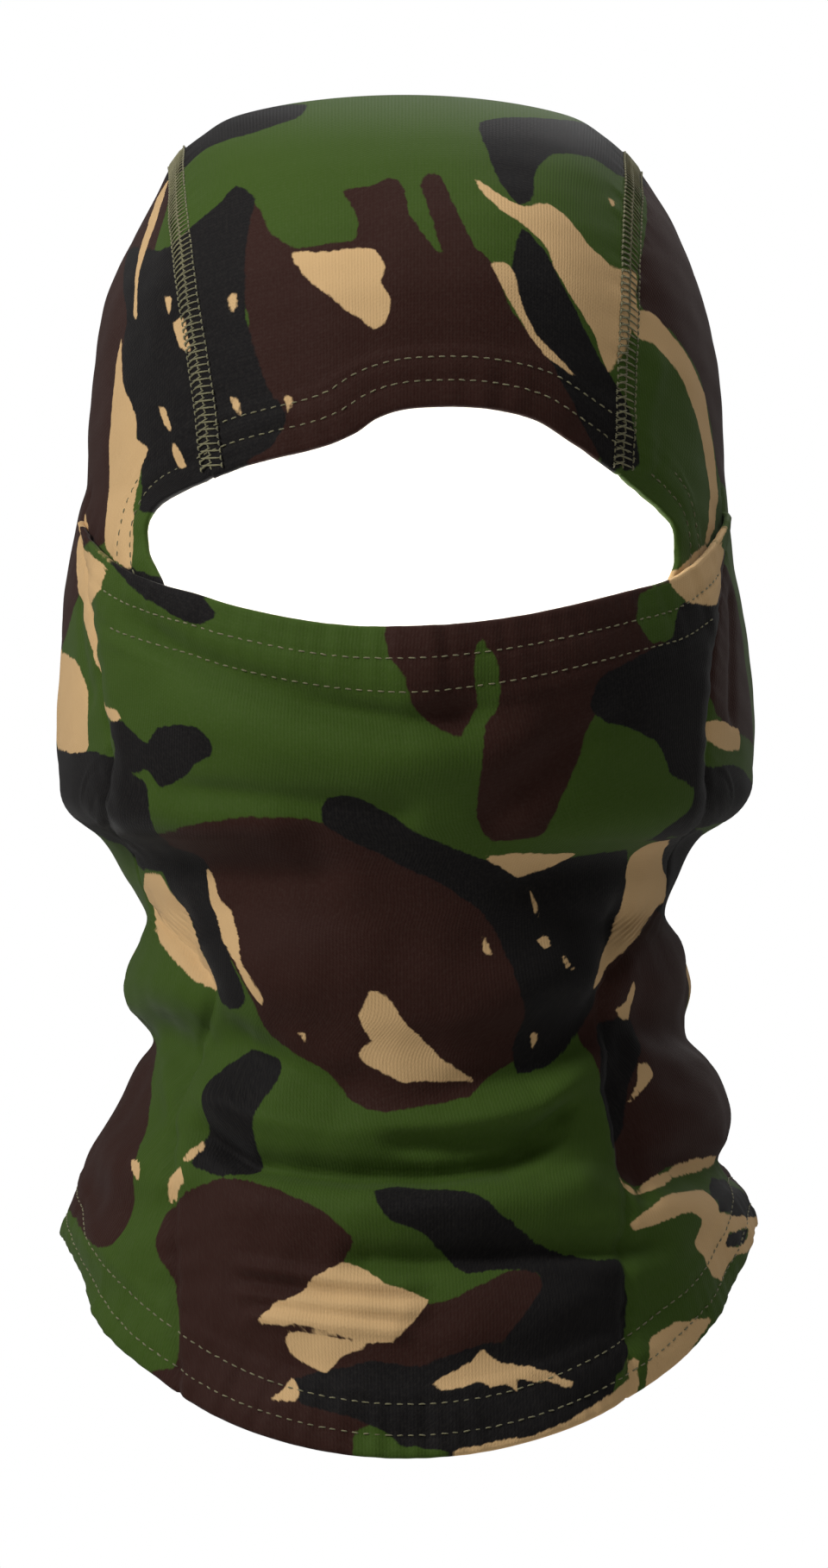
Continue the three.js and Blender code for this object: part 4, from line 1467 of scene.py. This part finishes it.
VIEW_HEIGHT = 0.404  # height of the frame at the hood, in metres
CAMERA_DISTANCE = 8.0
CAMERA_PLANE = -0.03  # y at which VIEW_HEIGHT holds
SKY_LIGHT = 0.1  # strength of the white surroundings as light; they show as plain white
FLOOR_DROP = 0.9  # how far the hood hangs above the floor
FLOOR_GLOW = 0.7  # keeps the floor pale far from the lamps, without lighting the hood from below


class HOOD_OT_stage(bpy.types.Operator):
    """Set the pale floor, the soft lights and the camera"""

    bl_idname = "hood.stage"
    bl_label = "Stage"

    def execute(self, context):
        scene = context.scene
        bpy.ops.object.select_all(action="DESELECT")
        bpy.ops.mesh.primitive_grid_add(x_subdivisions=8, y_subdivisions=8, size=60)
        floor = bpy.context.object
        floor.name = "floor"
        floor.location = (0, 0, FRAME_LOW[2] - FLOOR_DROP)
        material, tree, shader = new_finish("pale matt paper")
        mottle = node(tree, "ShaderNodeTexNoise", {"Scale": 3.0}).outputs[0]
        shade = node(tree, "ShaderNodeMapRange", {0: mottle, 3: 0.8, 4: 0.86}).outputs[0]
        shader.inputs["Base Color"].default_value = (*scene.hood_colours.floor, 1)
        tree.links.new(shade, shader.inputs["Roughness"])
        looked_at = node(tree, "ShaderNodeLightPath").outputs["Is Camera Ray"]
        tree.links.new(maths(tree, "MULTIPLY", looked_at, FLOOR_GLOW), shader.inputs["Emission Strength"])
        shader.inputs["Emission Color"].default_value = (*scene.hood_colours.floor, 1)
        floor.data.materials.append(material)
        world = bpy.data.worlds.new("white studio")
        scene.world = world
        world.use_nodes = True
        background = world.node_tree.nodes["Background"]
        seen = node(world.node_tree, "ShaderNodeLightPath").outputs["Is Camera Ray"]
        way = node(world.node_tree, "ShaderNodeTexCoord").outputs["Generated"]
        height = node(world.node_tree, "ShaderNodeSeparateXYZ", {0: way}).outputs[2]
        sky = node(
            world.node_tree, "ShaderNodeMapRange", {0: height, 3: SKY_LIGHT, 4: 3 * SKY_LIGHT}
        ).outputs[0]
        glow = node(world.node_tree, "ShaderNodeMapRange", {0: seen, 3: sky, 4: 1.0}).outputs[0]
        world.node_tree.links.new(glow, background.inputs["Strength"])
        background.inputs["Color"].default_value = (1, 1, 1, 1)
        area_light("key", (-1.5, -1.1, 1.0), (0, 0, -0.15), 0.55, 38)
        area_light("fill", (1.3, -1.3, 0.4), (0, 0, -0.2), 1.0, 1.6)
        area_light("top", (0.1, -0.15, 1.2), (0, 0, -0.1), 0.7, 7)
        area_light("back", (0.5, 1.6, 1.1), (0, 0, -0.12), 0.9, 11)
        area_light("inside", (0, -0.01, -0.24), (0, 0.03, 0), 0.08, 0.5)
        scene.view_settings.view_transform = "Standard"
        camera = bpy.data.cameras.new("camera")
        camera.sensor_fit = "AUTO"
        camera.sensor_width = 36
        camera.lens = 36 * CAMERA_DISTANCE / VIEW_HEIGHT
        holder = bpy.data.objects.new("camera", camera)
        scene.collection.objects.link(holder)
        holder.location = (0.0024, CAMERA_PLANE - CAMERA_DISTANCE, (TOP - 178.2) * MM)
        holder.rotation_euler = (math.pi / 2, 0, 0)
        scene.camera = holder
        return {"FINISHED"}


OPERATORS = (
    HOOD_OT_stage, HOOD_OT_crown, HOOD_OT_sides, HOOD_OT_face, HOOD_OT_ladders, HOOD_OT_hem_rows,
    HOOD_OT_overlock, HOOD_OT_sheets,
)


class HOOD_PT_panel(bpy.types.Panel):
    """The hood's pieces and sizes"""

    bl_label = "Hood"
    bl_idname = "HOOD_PT_panel"
    bl_space_type = "VIEW_3D"
    bl_region_type = "UI"
    bl_category = "Hood"

    def draw(self, context):
        layout = self.layout
        for settings in (context.scene.hood_cloth, context.scene.hood_threads, context.scene.hood_colours):
            column = layout.column()
            for name in settings.bl_rna.properties.keys():
                if name not in ("rna_type", "name"):
                    column.prop(settings, name)
        for operator in OPERATORS:
            layout.operator(operator.bl_idname)


SETTINGS = (
    ("hood_cloth", HoodClothSettings),
    ("hood_threads", HoodThreadSettings),
    ("hood_colours", HoodColourSettings),
)


def register():
    for name, group in SETTINGS:
        bpy.utils.register_class(group)
        setattr(bpy.types.Scene, name, PointerProperty(type=group))
    for each in (*OPERATORS, HOOD_PT_panel):
        bpy.utils.register_class(each)


def unregister():
    for each in reversed((*OPERATORS, HOOD_PT_panel)):
        bpy.utils.unregister_class(each)
    for name, group in reversed(SETTINGS):
        delattr(bpy.types.Scene, name)
        bpy.utils.unregister_class(group)


def main():
    register()
    bpy.ops.hood.stage()
    bpy.ops.hood.crown()
    bpy.ops.hood.sides()
    bpy.ops.hood.face()
    bpy.ops.hood.ladders()
    bpy.ops.hood.hem_rows()
    bpy.ops.hood.overlock()
    bpy.ops.hood.sheets()


if __name__ == "__main__":
    main()
